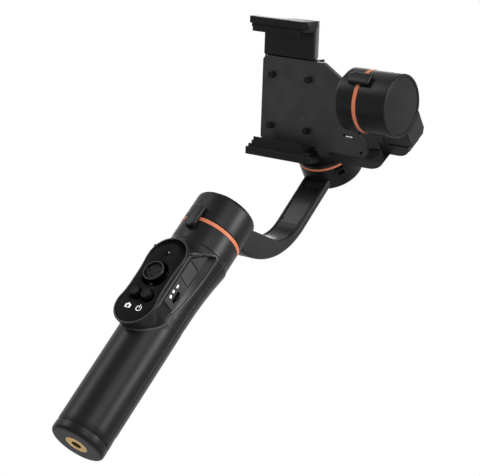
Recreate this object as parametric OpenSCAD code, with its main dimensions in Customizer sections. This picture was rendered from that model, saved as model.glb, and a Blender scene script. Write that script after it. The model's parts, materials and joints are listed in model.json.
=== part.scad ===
// Three-axis handheld stabilizer with a sprung phone clamp, in its working pose.
// The yaw axis is +Z through the handle, and the roll and pitch axes cross it at one point.

/* [Handle] */
// Height of the yaw joint above the base of the handle
yaw_ring_z = 150; // [140:1:165]
// Radius of the grip
grip_r = 16.8; // [16:0.1:17.5]
// Distance from the yaw axis to the front of the control panel
panel_front = 22.7; // [22:0.1:23.5]
// Depth of the tripod socket in the base
socket_depth = 10; // [8:0.5:11]

/* [Motors] */
// Outer radius of each motor housing
motor_r = 19.3; // [19:0.1:20]
// Length of the long half of a motor, from the middle of its ring
long_half = 21.3; // [21:0.1:22]
// Radius of each motor shaft
shaft_r = 3; // [2.6:0.1:3.2]
// Running clearance round each shaft
running_gap = 0.05; // [0.03:0.01:0.08]

/* [Arms] */
// Height of the point where the three axes cross, above the yaw ring
axes_rise = 118.1; // [117:0.1:120]
// Angle of the roll axis above the horizontal
roll_tilt = 8.2; // [6:0.1:9]
// Distance from the crossing point to the roll ring
roll_ring_s = 48.3; // [48:0.1:50]
// Distance from the crossing point to the pitch ring
pitch_ring_x = 49.8; // [49:0.1:51]
// Width of the yaw arm
arm_w = 19; // [18:0.5:20]

/* [Clamp] */
// Lean of the clamp from upright in the working pose
clamp_lean = 48.6; // [40:0.2:50]
// Distance between the jaws in the working pose
clamp_gap = 70.9; // [70:0.1:72]
// Thickness of the phone between the pads and the front of the jaws
phone_t = 7.7; // [7:0.1:8]

/* [Hidden] */
$fn = 96;

tiny = 0.01;
axes_z = yaw_ring_z + axes_rise;

// Motor halves, measured along each motor's axis from the middle of its ring
ring_h = 2.5;
roll_ring_h = 1.7;
ring_gap = 0.4;
cup_wall = 1.6;
cup_ir = motor_r - cup_wall;
cup_floor = 2;
boss_r = 7;
boss_start = 4.2;
bearing_r = 5.5;
bearing_w = 4;
stator_r = 12.6;
stator_z0 = 5;
stator_margin = 5.8;
rotor_ir = 13.1;
rotor_or = 16.6;
rotor_margin = 4.3;
hub_r = 15.4;
hub_z1 = 2.4;
roll_half = long_half - 4.6;
pitch_half = long_half + 0.6;
roll_base_len = 3;
roll_base_floor = 1.5;
pitch_base_len = 12.5;
neck_len = 12.6;
teeth = 12;
poles = 14;

// Handle
shell_t = 2;
seam_y = 2;
base_h = 6;
neck_z0 = yaw_ring_z - neck_len;
battery_r = 9.2;
battery_len = 66;
screw_z = [13.2, 90];
screw_x = 11.4;
screw_r = 1.25;
screw_head_r = 2.1;
screw_head_y = 8.4;
screw_boss_r = 2.6;
thread_r = 3.175;
insert_r = 7;

// Console, with heights measured from the yaw ring
lobe_top_r = 12.2;
lobe_top_z = yaw_ring_z - 31.7;
lobe_low_r = 12.9;
lobe_low_z = yaw_ring_z - 66.3;
waist_half = 11.2;
waist_r = 100;
rim_w = 1.2;
panel_t = 1.6;
stick_z = yaw_ring_z - 44.5;
stick_r = 6.8;
button_z = yaw_ring_z - 59.5;
stick_y = -19.6;
switch_y = -16.8;
pin_r = 0.7;
shutter = [-4.4, 3.1];
power = [4.0, 3.4];
button_gap = 0.3;
button_proud = 2.4;
led_z = yaw_ring_z - 29;
led_r = 0.65;
console_half = 14.2;
plate_t = 0.8;
flap = [-19.3, -9.3, yaw_ring_z - 41.2, yaw_ring_z - 29.2];
flap_gap = 0.25;
flank_slope = [[-5.5, -15.6], [-0.9, -14.2], [-5.1, -56.7], [-9, -61.7], [-10.3, -59], [-8.3, -56.2]];
slider_y = -13;
slider_z = yaw_ring_z - 51.4;
slider_slot = [2.8, 7.4];
slider_size = [2.2, 3.2];

// Yaw arm, in the plane of the yaw and roll axes: y across, z up from the yaw ring
arm_out_y = 59.2;
arm_in_y = 53.8;
bend_out_r = 49.3;
bend_in_r = 26;
bend_z = 56.5;
arm_root_z = [9.8, 21.2];
cover_t = 0.8;
cover_w = 14.4;

// Roll arm, in the roll frame: x right, y away from the clamp's front, z towards the crossing point
beam_b = [-12, 12];
beam_s = [38.5, 45.4];
beam_x0 = 12;
beam_arc_x = 39.5;
beam_arc_r = 16.4;
block_x = [46.6, 58.5];
block_end_r = 10.7;
block_b = [-12, 3];
block_s = [31, 39.1];
rail_w = 8;
rail_foot_w = 12;
rail_b = -4.5;
rail_s = [33.6, 36];
slide_gap = 0.3;
bar_b = [-13, 3];
bar_chamfer = 3;
bar_grooves = 5;
bar_s = [14, 30];
bar_x = [52, pitch_ring_x + pitch_half];
knob_x = 41.3;
knob_b = 5.4;
knob_r = 4.5;
knob_z = [-2.1, -0.6];
knob_pocket = 2.4;
knob_stem_r = 1.6;
knob_rib_turn = -28;

// Clamp, in its own frame: x right, y up along the jaws, z out towards the user
upper_jaw_x = [-40.8, 3.2];
lower_jaw_x = [-40.8, 8.6];
jaw_top = clamp_gap / 2 + 0.55;
jaw_low = jaw_top - clamp_gap;
upper_jaw_t = 6.8;
lower_jaw_t = 9.3;
step_t = 2;
jaw_z = [-7, 5.5];
jaw_corner = [1.5, 5.6, 3.4];
pad_t = 2.4;
lip_h = 2.5;
lip_z = [3.95, 5];
low_pad_x = [lower_jaw_x[0] + 3.7, lower_jaw_x[1] - 3.7];
phone_back = -phone_t / 2 - 0.1;
plate_z = [-10.5, -7.5];
body_x = [-39.5, 1];
body_y = [-34, 18];
body_z = [-18.5, -10.5];
rod_x = [-32, -6.5];
rod_z = -14.5;
rod_r = 2;
rod_gap = 0.05;
rod_low = -12;
spring_r = 3.2;
spring_wire = 0.45;
spring_turns = 8;
cheek_x = [34.2, 37.3];
bracket_bolts_r = 12;
bolt_r = 1;

// Travel stops: a lug on the short half of each motor reaches over the ring, a bump on the long half meets it
lug_w = 8;
lug_h = 3;
lug_len = 8;
lug_gap = 0.45;
bump_h = 1.6;
yaw_lug = -92;
roll_lug = -145;
pitch_lug = -89;
roll_lug_len = 5;

// Frames --------------------------------------------------------------------------------------------------

// Origin at the yaw ring, +Z along the yaw axis
module at_yaw() { translate([0, 0, yaw_ring_z]) children(); }

// Origin at the crossing point, +Z along the roll axis towards the user
module roll_frame() { translate([0, 0, axes_z]) rotate([90 - roll_tilt, 0, 0]) children(); }

// Origin at the roll ring, +Z into the long half of the roll motor
module at_roll() { roll_frame() translate([0, 0, -roll_ring_s]) rotate([180, 0, 0]) children(); }

// Origin at the pitch ring, +Z into the long half of the pitch motor
module at_pitch() { translate([pitch_ring_x, 0, axes_z]) rotate([0, 90, 0]) children(); }

// Origin at the crossing point, turned with the clamp
module clamp_frame() { translate([0, 0, axes_z]) rotate([90 + clamp_lean, 0, 0]) children(); }

// Extrudes an outline drawn in (y, z) along x, centred
module along_x(w) { rotate([90, 0, 90]) linear_extrude(w, center = true) children(); }

// Extrudes an outline drawn in (x, z) from one y to another
module along_y(y0, y1) { translate([0, y1, 0]) rotate([90, 0, 0]) linear_extrude(y1 - y0) children(); }

// A block given by its ranges
module block(x, y, z) {
    translate([x[0], y[0], z[0]]) cube([x[1] - x[0], y[1] - y[0], z[1] - z[0]]);
}

function on_circle(c, r, a) = c + r * [cos(a), sin(a)];
function arc(c, r, a0, a1, n) = [for (i = [0 : n]) on_circle(c, r, a0 + (a1 - a0) * i / n)];

// Motor pieces --------------------------------------------------------------------------------------------

// Long half: a cup with a rounded end and a boss for the two bearings
module long_cup(len, edge, h = ring_h) {
    start = h / 2 + ring_gap;
    difference() {
        rotate_extrude() polygon(concat(
            [[0, start], [motor_r, start]],
            arc([motor_r - edge, len - edge], edge, 0, 90, 8),
            [[0, len]]));
        difference() {
            translate([0, 0, start - 1]) cylinder(r = cup_ir, h = len - cup_floor - start + 1);
            translate([0, 0, boss_start]) cylinder(r = boss_r, h = len);
        }
        cylinder(r = bearing_r, h = len - cup_floor);
    }
}

module stator(len) {
    z1 = len - stator_margin;
    difference() {
        union() {
            translate([0, 0, stator_z0]) cylinder(r = 9, h = z1 - stator_z0);
            for (i = [0 : teeth - 1]) rotate([0, 0, i * 360 / teeth])
                block([8, stator_r - 1.4], [-1.9, 1.9], [stator_z0 + 0.8, z1 - 0.8]);
            for (i = [0 : teeth - 1]) rotate([0, 0, i * 360 / teeth])
                block([8, stator_r], [-1.1, 1.1], [stator_z0, z1]);
        }
        cylinder(r = boss_r, h = len);
    }
}

module bearings(len) {
    for (z = [boss_start, len - cup_floor - bearing_w]) translate([0, 0, z]) difference() {
        cylinder(r = bearing_r, h = bearing_w);
        translate([0, 0, -tiny]) cylinder(r = shaft_r + running_gap, h = bearing_w + 2 * tiny);
        for (f = [-tiny, bearing_w - 0.4]) translate([0, 0, f]) difference() {
            cylinder(r = 4.8, h = 0.4 + tiny);
            translate([0, 0, -1]) cylinder(r = 3.8, h = 3);
        }
    }
}

// Rotor: a hub on the shaft and a ring of magnets round the stator
module rotor(len, h = ring_h) {
    start = h / 2 + ring_gap;
    difference() {
        union() {
            translate([0, 0, -h / 2]) cylinder(r = hub_r, h = hub_z1 + h / 2);
            translate([0, 0, start]) cylinder(r = rotor_or, h = len - rotor_margin - start);
        }
        translate([0, 0, hub_z1]) cylinder(r = rotor_ir, h = len);
        translate([0, 0, -5]) cylinder(r = shaft_r, h = 20);
        for (i = [0 : poles - 1]) rotate([0, 0, i * 360 / poles])
            block([rotor_ir - 1, rotor_ir + 0.8], [-0.4, 0.4], [4, 30]);
    }
}

module ring(h = ring_h) {
    translate([0, 0, -h / 2]) difference() {
        cylinder(r = motor_r + 0.1, h = h);
        translate([0, 0, -1]) cylinder(r = hub_r, h = h + 2);
    }
}

// Hollow shaft that leads the wires through the joint
module shaft(tail, len) {
    translate([0, 0, -tail]) difference() {
        cylinder(r = shaft_r, h = tail + len - cup_floor - 0.3);
        translate([0, 0, -1]) cylinder(r = 1.7, h = 60);
    }
}

// Short half: a cup whose floor holds the shaft
module short_cup(len, wires) {
    difference() {
        translate([0, 0, -len]) cylinder(r = motor_r, h = len - ring_h / 2);
        difference() {
            translate([0, 0, -len + cup_floor]) cylinder(r = cup_ir, h = len);
            translate([0, 0, -len]) cylinder(r = boss_r, h = len);
        }
        translate([0, 0, -len + 1]) cylinder(r = shaft_r, h = len);
        translate([0, 0, -len - 1]) cylinder(r = wires, h = 10);
    }
}

// Moves to the rim of a motor at angle a, +X outwards
module at_rim(a) { rotate([0, 0, a]) translate([motor_r, 0, 0]) children(); }

// Lug rooted on the short half that reaches from z0 over the ring to z1
module limit_lug(z0, z1) {
    difference() {
        union() {
            block([lug_gap, lug_h], [-lug_w / 2, lug_w / 2], [z0 + lug_w / 2, z1]);
            translate([0, 0, z0 + lug_w / 2]) rotate([0, 90, 0]) translate([0, 0, lug_gap])
                cylinder(r = lug_w / 2, h = lug_h - lug_gap);
            block([-1, lug_gap + tiny], [-lug_w / 2 + 0.6, lug_w / 2 - 0.6], [z0 + 1, -ring_h / 2 - 0.4]);
        }
        block([1.2, lug_h - 0.8], [-lug_w / 2 + 1.5, lug_w / 2 - 1.5], [z1 - 2.6, z1 + 1]);
    }
}

// Fork-shaped bump on the long half
module limit_bump() {
    difference() {
        block([-1, bump_h], [-3.2, 3.2], [1.9, 6.6]);
        block([0.8, bump_h + 1], [-1.7, 1.7], [3.4, 8]);
    }
}

// Handle --------------------------------------------------------------------------------------------------

// Outline of the control panel in (x, z), wider at both lobes than at its waist
module panel_outline(grow = 0) {
    translate([0, lobe_top_z]) circle(r = lobe_top_r + grow);
    translate([0, lobe_low_z]) circle(r = lobe_low_r + grow);
    difference() {
        polygon([[-lobe_low_r - grow, lobe_low_z], [lobe_low_r + grow, lobe_low_z],
            [lobe_top_r + grow, lobe_top_z], [-lobe_top_r - grow, lobe_top_z]]);
        for (s = [-1, 1]) translate([s * (waist_half + grow + waist_r), (lobe_top_z + lobe_low_z) / 2])
            circle(r = waist_r, $fn = 360);
    }
}

// Side view of the console in (y, z), inset by t
module console_side(t = 0) {
    polygon([[-panel_front + 0.8 + t, yaw_ring_z - 27 - t], [-6.5 + t / 2, yaw_ring_z - 13 - t],
        [-1 - t, yaw_ring_z - 13 - t], [-5 - t, yaw_ring_z - 58 + t], [-9, yaw_ring_z - 63 + t],
        [-panel_front + 0.8 + t, yaw_ring_z - 61 + t]]);
}

// Outside of the grip and neck as a turned profile, inset by t
module grip_profile(t = 0) {
    polygon([[0, base_h], [grip_r - t, base_h], [grip_r - t, yaw_ring_z - 52],
        [grip_r + 1.2 - t, yaw_ring_z - 36],
        [motor_r - t, yaw_ring_z - 22], [motor_r - t, neck_z0], [0, neck_z0]]);
}

module handle_outer() {
    rotate_extrude() grip_profile();
    along_y(-panel_front + 0.3, -6) panel_outline(rim_w);
    along_x(2 * console_half) console_side();
}

module handle_cavity() {
    difference() {
        rotate_extrude() grip_profile(shell_t);
        translate([0, 0, neck_z0 - 2]) cylinder(r = 30, h = 3);
    }
    difference() {
        along_y(-panel_front + panel_t + 1.2, -4) panel_outline(-0.9);
        translate([0, 0, neck_z0 - 2]) cylinder(r = 30, h = 30);
    }
}

module handle_half(keep_y) {
    difference() {
        union() {
            intersection() {
                difference() { handle_outer(); handle_cavity(); }
                block([-40, 40], keep_y, [0, 200]);
            }
            at_screws() intersection() {
                translate([0, 0, -6]) cylinder(r = screw_boss_r, h = 15);
                block([-9, 9], [-9, 9], keep_y);
            }
        }
        along_y(-panel_front - 5, -panel_front + panel_t) panel_outline(0.15);
        stick_hole(stick_r + 1.7, 20);
        for (b = [shutter, power]) front_hole(b[0], button_z, b[1] + 0.5);
        block([5, 20], [-18.8, -9.8], [yaw_ring_z - 37.4, yaw_ring_z - 33]);
        block([10.4, 20], [slider_y - 1.2, slider_y + 1.2], [slider_z - 3.5, slider_z + 3.5]);
        block([console_half - 1.4, 20], flap_y(flap_gap), flap_z(flap_gap));
        flank_pocket();
        mirror([1, 0, 0]) flank_pocket();
        front_hole(0, led_z, led_r + 0.2);
        at_screws() {
            translate([0, 0, -4]) cylinder(r = screw_r, h = 40);
            translate([0, 0, screw_head_y]) cylinder(r = screw_head_r, h = 20);
        }
    }
}

// Pocket of a side plate, with a slanted wall behind the plate
module flank_pocket() {
    translate([console_half + 10, 0, 0]) along_x(20) side_plate_outline(0.1);
    intersection() {
        translate([console_half + 10, 0, 0]) along_x(20) polygon([for (p = flank_slope) p + [0, yaw_ring_z]]);
        translate([console_half + 0.1, -8.2, 0]) rotate([0, 0, -33]) block([0, 30], [-40, 40], [0, 200]);
    }
}

// The four places where the halves are screwed together, +Z towards the back of the handle
module at_screws() {
    for (z = screw_z) for (s = [-1, 1]) translate([s * screw_x, 0, z]) rotate([-90, 0, 0]) children();
}

function flap_y(g) = [flap[0] - g, flap[1] + g];
function flap_z(g) = [flap[2] - g, flap[3] + g];

module stick_hole(r, h) {
    translate([0, -panel_front + h - 5, stick_z]) rotate([90, 0, 0]) cylinder(r = r, h = h);
}

// Hole through the front of the console
module front_hole(x, z, r) { translate([x, -panel_front + 6, z]) rotate([90, 0, 0]) cylinder(r = r, h = 10); }

module handle_front_shell() { color("#2c2c2f") handle_half([-40, seam_y]); }

module handle_back_shell() { color("#2c2c2f") handle_half([seam_y, 40]); }

module base_cap() {
    color("#1e1e20") difference() {
        union() {
            rotate_extrude() polygon(concat([[0, 0]], arc([grip_r - 2, 2], 2, -90, 0, 5),
                [[grip_r, base_h], [0, base_h]]));
            translate([0, 0, base_h]) cylinder(r = grip_r - shell_t - 0.1, h = 3);
        }
        translate([0, 0, -1]) cylinder(r = insert_r, h = socket_depth + 1);
        translate([0, 0, base_h]) difference() {
            cylinder(r = grip_r - shell_t - 1.6, h = 8);
            cylinder(r = insert_r + 1.5, h = 8);
        }
    }
    color("#1e1e20") difference() {
        translate([0, 0, base_h + 3 - tiny])
            cylinder(r = insert_r + 1.5, h = socket_depth + 1.5 - base_h - 3);
        translate([0, 0, -1]) cylinder(r = insert_r, h = socket_depth + 1);
    }
}

module tripod_socket() {
    color("#b89a50") difference() {
        cylinder(r = insert_r, h = socket_depth);
        translate([0, 0, -1]) cylinder(r = thread_r, h = socket_depth - 1);
    }
}

module control_panel() {
    color("#101012") difference() {
        along_y(-panel_front, -panel_front + panel_t) panel_outline(-0.05);
        stick_hole(stick_r + 1.2, 20);
        for (b = [shutter, power]) front_hole(b[0], button_z, b[1] + button_gap);
        front_hole(0, led_z, led_r + 0.05);
    }
}

module status_led() {
    color("#d9e4ee") translate([0, -panel_front + 3, led_z]) rotate([90, 0, 0]) cylinder(r = led_r, h = 3.1);
}

// Textured plates on both flanks of the console; the right one has the port and the slider
module side_plates() {
    color("#4a4a4d") for (s = [-1, 1]) difference() {
        translate([s * (console_half + plate_t / 2), 0, 0]) along_x(plate_t) side_plate_outline();
        if (s > 0) {
            block([14, 18], flap_y(flap_gap), flap_z(flap_gap));
            block([14, 18], [slider_y - slider_slot[0] / 2, slider_y + slider_slot[0] / 2],
                [slider_z - slider_slot[1] / 2, slider_z + slider_slot[1] / 2]);
        }
    }
}

// Side view of a plate in (y, z), grown by about g
module side_plate_outline(g = 0) {
    polygon([[-20.6 - g, yaw_ring_z - 29.2 + g], [-6.9 - g, yaw_ring_z - 15.2 + g],
        [-5.5 + g, yaw_ring_z - 15.6 + g], [-8.3 + g, yaw_ring_z - 56.2],
        [-10.4 + g, yaw_ring_z - 59 - g], [-20.6 - g, yaw_ring_z - 59.2 - g]]);
}

module usb_port() {
    color("#b9bcc0") difference() {
        block([9.05, 13.7], [-18.5, -10.1], [yaw_ring_z - 37, yaw_ring_z - 33.4]);
        block([10, 15], [-18, -10.6], [yaw_ring_z - 36.5, yaw_ring_z - 33.9]);
    }
    color("#202022") block([9.6, 12.2], [-17.3, -11.3], [yaw_ring_z - 35.5, yaw_ring_z - 34.9]);
}

module battery() {
    color("#3b5f8c") translate([0, 2, socket_depth + 6]) {
        cylinder(r = battery_r, h = battery_len);
        translate([0, 0, battery_len - tiny]) cylinder(r = 3, h = 1);
    }
}

// Board with the stick's yoke, the switches under the buttons and the socket's carrier
module main_board() {
    color("#1f5a3a") {
        block([-9, 9], [-13.6, -12], [yaw_ring_z - 72, yaw_ring_z - 30]);
        block([-6.9, 6.9], [switch_y, -13.6], [stick_z - 5, stick_z + 5]);
        for (b = [shutter, power])
            block([b[0] - 2, b[0] + 2], [switch_y, -13.6], [button_z - 2, button_z + 2]);
        block([7.6, 9], [-18.5, -11.2], [yaw_ring_z - 39.2, yaw_ring_z - 31.2]);
        for (s = [-1, 1]) difference() {
            translate([s * 6.25, 0, stick_z])
                block([-0.65, 0.65], [stick_y - 1.2, switch_y + tiny], [-1.6, 1.6]);
            translate([-20, stick_y, stick_z]) rotate([0, 90, 0]) cylinder(r = pin_r + running_gap, h = 40);
        }
    }
}

module handle_screws() {
    color("#8c8f94") at_screws() {
        translate([0, 0, -4]) cylinder(r = screw_r, h = screw_head_y + 4);
        translate([0, 0, screw_head_y]) difference() {
            cylinder(r = screw_head_r, h = 1.2);
            translate([0, 0, 0.6]) cylinder(r = 1, h = 3, $fn = 6);
        }
    }
}

module neck_cup() {
    color("#29292b") at_yaw() {
        short_cup(neck_len, 1.7);
        at_rim(yaw_lug) limit_lug(-lug_len, lug_len);
    }
}

module yaw_ring() { color("#d9683a") at_yaw() ring(); }
module yaw_rotor() { color("#77797d") at_yaw() rotor(long_half); }
module yaw_shaft() { color("#c9ccd0") at_yaw() shaft(neck_len - 1, long_half); }

// Origin at the pivot of the joystick, +Z out of the panel
module at_stick() { translate([0, stick_y, stick_z]) rotate([90, 0, 0]) children(); }

// Ring that tips up and down in the yoke; the cap tips sideways in it
module joystick_ring() {
    color("#2a2a2c") at_stick() difference() {
        union() {
            translate([0, 0, -1.1]) cylinder(r = 5.2, h = 2.2);
            translate([-6.9, 0, 0]) rotate([0, 90, 0]) cylinder(r = pin_r, h = 13.8);
        }
        translate([0, 0, -2]) cylinder(r = 3.4, h = 5);
        translate([0, 8, 0]) rotate([90, 0, 0]) cylinder(r = pin_r + running_gap, h = 16);
    }
}

module joystick_cap() {
    color("#151517") at_stick() {
        translate([0, 0, -1.4]) cylinder(r = 1.6, h = 5.5);
        translate([0, 4.8, 0]) rotate([90, 0, 0]) cylinder(r = pin_r, h = 9.6);
        rotate_extrude() polygon(concat([[0, 3.9], [stick_r - 1.2, 3.9]],
            arc([stick_r - 1.1, 5.2], 1.1, -50, 90, 8), [[stick_r - 2.4, 5.5], [0, 5.0]]));
    }
}

module button(b) {
    h = panel_front - 18 + button_proud;
    translate([b[0], -18, button_z]) rotate([90, 0, 0]) rotate_extrude() polygon(concat(
        [[0, 0], [b[1], 0]], arc([b[1] - 0.6, h - 0.6], 0.6, 0, 90, 6), [[0, h - 0.2]]));
}

module shutter_button() { color("#2b2b2d") button(shutter); }
module power_button() { color("#2b2b2d") button(power); }

module mode_slider() {
    color("#1a1a1b") difference() {
        union() {
            block([11.6, 16], [slider_y - 0.9, slider_y + 0.9], [slider_z - 1.4, slider_z + 1.4]);
            block([15.2, 16.1], [slider_y - slider_size[0] / 2, slider_y + slider_size[0] / 2],
                [slider_z - slider_size[1] / 2, slider_z + slider_size[1] / 2]);
        }
        for (i = [-1 : 1]) block([15.8, 18], [slider_y - 3, slider_y + 3],
            [slider_z + i * 0.9 - 0.15, slider_z + i * 0.9 + 0.15]);
    }
}

// Rubber flap over the charging socket, hinged along its lower edge
module port_cover() {
    color("#3d3d40") {
        block([14.25, 15.15], [flap[0], flap[1]], [flap[2] + 0.9, flap[3]]);
        translate([14.75, flap[0], flap[2] + 0.6]) rotate([-90, 0, 0])
            cylinder(r = 0.5, h = flap[1] - flap[0]);
    }
}

// Yaw frame -----------------------------------------------------------------------------------------------

module yaw_cup() {
    color("#29292b") at_yaw() {
        long_cup(long_half, 3);
        at_rim(yaw_lug + 180) limit_bump();
    }
}

module yaw_stator() { color("#9a6a3c") at_yaw() stator(long_half); }
module yaw_bearings() { color("#aeb2b7") at_yaw() bearings(long_half); }

// Path of the arm's inner face in (y, z) from the yaw ring, moved into the arm by t
function inner_path(t) = concat([[arm_in_y + t, axes_rise - 28.2], [arm_in_y + t, bend_z]],
    arc([arm_in_y - bend_in_r, bend_z], bend_in_r + t, -6, -66, 10));

module arm_outline() {
    polygon(concat(
        [[14, arm_root_z[0]]],
        arc([arm_out_y - bend_out_r, bend_z], bend_out_r, -77, 0, 20),
        [[arm_out_y, axes_rise - 10], [arm_in_y, axes_rise - 10]],
        inner_path(0),
        [[14, arm_root_z[1]]]));
}

module cover_outline() {
    polygon(concat(inner_path(0), [for (i = [len(inner_path(0)) - 1 : -1 : 0]) inner_path(cover_t)[i]]));
}

module yaw_arm() {
    color("#303033") difference() {
        at_yaw() along_x(arm_w) arm_outline();
        at_yaw() translate([0, 0, -5]) cylinder(r = motor_r, h = 40);
        at_roll() translate([0, 0, -5]) cylinder(r = motor_r, h = 60);
        at_yaw() along_x(cover_w + 0.2) cover_outline();
    }
}

module yaw_arm_cover() { color("#252528") at_yaw() along_x(cover_w) cover_outline(); }

module roll_cup() {
    color("#29292b") at_roll() {
        long_cup(roll_half, 2.4, roll_ring_h);
        at_rim(roll_lug + 180) limit_bump();
    }
}

module roll_stator() { color("#9a6a3c") at_roll() stator(roll_half); }
module roll_bearings() { color("#aeb2b7") at_roll() bearings(roll_half); }

// Roll frame ----------------------------------------------------------------------------------------------

module roll_base() {
    color("#29292b") at_roll() {
        difference() {
            translate([0, 0, -roll_base_len]) cylinder(r = motor_r, h = roll_base_len - roll_ring_h / 2);
            translate([0, 0, -roll_base_len + roll_base_floor]) cylinder(r = shaft_r, h = 20);
        }
        at_rim(roll_lug) limit_lug(-roll_base_len, roll_lug_len);
    }
}

module roll_ring() { color("#d9683a") at_roll() ring(roll_ring_h); }
module roll_rotor() { color("#77797d") at_roll() rotor(roll_half, roll_ring_h); }
module roll_shaft() { color("#c9ccd0") at_roll() shaft(roll_base_len - roll_base_floor, roll_half); }

// Extrudes an outline drawn in (y, z) along x, between two values
module along_x_from(x) { translate([x[0], 0, 0]) rotate([90, 0, 90]) linear_extrude(x[1] - x[0]) children(); }

// Outline of the beam in (x, z) of the roll frame
module beam_outline() {
    turn = asin((beam_arc_r + beam_s[0] - beam_s[1]) / beam_arc_r);
    polygon(concat([[beam_x0, -beam_s[0]], [beam_x0, -beam_s[1]]],
        arc([beam_arc_x, beam_arc_r - beam_s[1]], beam_arc_r, -90, -turn, 14)));
}

module block_outline() {
    turn = asin((block_end_r + block_s[0] - block_s[1]) / block_end_r);
    polygon(concat([[block_x[0], -block_s[0]], [block_x[0], -block_s[1]]],
        arc([block_x[1], block_end_r - block_s[1]], block_end_r, -90, -turn, 14)));
}

module roll_arm() {
    color("#303033") difference() {
        roll_frame() union() {
            along_y(-beam_b[1], -beam_b[0]) beam_outline();
            along_y(-block_b[1], -block_b[0]) block_outline();
        }
        at_roll() translate([0, 0, -roll_base_len - tiny]) cylinder(r = motor_r, h = 40);
        roll_frame() rail(slide_gap, [30, 80]);
        roll_frame() cover_pocket();
        knob_frame() translate([0, 0, -knob_pocket]) cylinder(r = knob_r + slide_gap, h = 20);
        knob_frame() translate([0, 0, -4.5]) cylinder(r = knob_stem_r + running_gap, h = 20);
    }
}

// T-shaped rail of the extension along x, grown by g
module rail(g, x) {
    y = [-rail_b - rail_w / 2 - g, -rail_b + rail_w / 2 + g];
    foot_y = [-rail_b - rail_foot_w / 2 - g, -rail_b + rail_foot_w / 2 + g];
    block(x, y, [-rail_s[1] - g, -bar_s[1] + 1]);
    block(x, foot_y, [-rail_s[1] - g, -rail_s[0] + g]);
}

module cover_pocket() { block([24, 40], [-9, 9], [-beam_s[1] - 1, -beam_s[1] + 1.2]); }

module roll_arm_cover() {
    color("#252528") roll_frame() block([24.1, 39.9], [-8.9, 8.9], [-beam_s[1], -beam_s[1] + 1.2]);
}

// Frame of the locking disc in the front face of the beam
module knob_frame() { roll_frame() translate([knob_x, -knob_b, -beam_s[0]]) children(); }

// Disc with ribs for the thumb, flush with the beam
module extension_knob() {
    color("#3a3a3c") knob_frame() {
        translate([0, 0, knob_z[0]]) cylinder(r = knob_r, h = knob_z[1] - knob_z[0]);
        translate([0, 0, -4.2]) cylinder(r = knob_stem_r, h = 3);
        rotate([0, 0, knob_rib_turn]) for (y = [-3.75 : 1.5 : 3.75]) {
            half = sqrt(pow(knob_r - 0.2, 2) - y * y);
            block([-half, half], [y - 0.3, y + 0.3], [knob_z[1] - tiny, -0.1]);
        }
    }
}

// Extension -----------------------------------------------------------------------------------------------

module extension_bar() {
    color("#38383b") difference() {
        roll_frame() union() {
            along_x_from(bar_x) polygon([[-bar_b[1], -bar_s[1]], [-bar_b[1], -bar_s[0]],
                [-bar_b[0], -bar_s[0]], [-bar_b[0], bar_chamfer - bar_s[1]],
                [-bar_b[0] - bar_chamfer, -bar_s[1]]]);
            rail(0, [bar_x[0] - 4, bar_x[1] - 5]);
        }
        roll_frame() {
            for (i = [0 : bar_grooves - 1])
                block([bar_x[1] - 9, bar_x[1] + 1], [-bar_b[0] - 0.5, 20], [-26 + i * 1.7, -25.4 + i * 1.7]);
        }
        at_pitch() translate([0, 0, -20]) cylinder(r = motor_r, h = 80);
    }
}

module pitch_cup() {
    color("#29292b") at_pitch() difference() {
        long_cup(pitch_half, 1.2);
        translate([0, 0, pitch_half - 0.9]) cylinder(r = motor_r - 2, h = 5);
    }
}

module pitch_end_cap() {
    color("#3b3b3e") at_pitch() translate([0, 0, pitch_half - 0.9]) cylinder(r = motor_r - 2.1, h = 0.6);
}

module pitch_stator() { color("#9a6a3c") at_pitch() stator(pitch_half); }
module pitch_bearings() { color("#aeb2b7") at_pitch() bearings(pitch_half); }

// Clamp ---------------------------------------------------------------------------------------------------

module pitch_base() {
    color("#29292b") {
        difference() {
            at_pitch() short_cup(pitch_base_len, 1.7);
            at_bolts() cylinder(r = bolt_r, h = 7);
        }
        at_pitch() at_rim(pitch_lug) limit_lug(-lug_len, lug_len);
    }
}

module pitch_ring() { color("#d9683a") at_pitch() ring(); }
module pitch_rotor() { color("#77797d") at_pitch() rotor(pitch_half); }
module pitch_shaft() { color("#c9ccd0") at_pitch() shaft(pitch_base_len - 1, pitch_half); }

// Screws between the cheek and the motor, with their heads on the cheek's inner face
bolt_angles = [-12, 84, 192];

module at_bolts() {
    clamp_frame() for (a = bolt_angles)
        translate([cheek_x[0], bracket_bolts_r * cos(a), bracket_bolts_r * sin(a)]) rotate([0, 90, 0])
            children();
}

function pad_places() = [for (x = [-30, -2]) for (y = [-26, 6]) [x, y]];

// Plate behind the phone with a cheek that is screwed to the short half of the pitch motor
module clamp_bracket() {
    color("#6d6d70") difference() {
        clamp_frame() union() {
            translate([0, 0, plate_z[0]]) linear_extrude(plate_z[1] - plate_z[0]) polygon(concat(
                [[-38.5, -34], [-36.5, -36.6]],
                arc([39.7, -32.6], 4, -90, 40, 8),
                [[36, -23], [cheek_x[1], -12], [cheek_x[1], 7], [22, 9], [8, 17.5], [-36.5, 17.5],
                [-38.5, 15]]));
            translate([cheek_x[0], 0, 0]) rotate([0, 90, 0]) cylinder(r = 16.5, h = cheek_x[1] - cheek_x[0]);
            block([-36, 3], [jaw_low - pad_t - 4, -33], plate_z);
        }
        at_bolts() translate([0, 0, -5]) cylinder(r = bolt_r, h = 12);
        clamp_frame() {
            translate([39, -34.2, -20]) cylinder(r = 1.1, h = 30);
            block([25, 32], [-25.6, -24], [-20, 0]);
            for (p = pad_places()) translate([p[0], p[1], plate_z[1] - 1]) cylinder(r = 2, h = 3);
        }
    }
}

module bracket_screws() {
    color("#8c8f94") at_bolts() {
        translate([0, 0, -1.2]) cylinder(r = 1.9, h = 1.2);
        cylinder(r = bolt_r, h = 7);
    }
}

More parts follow.
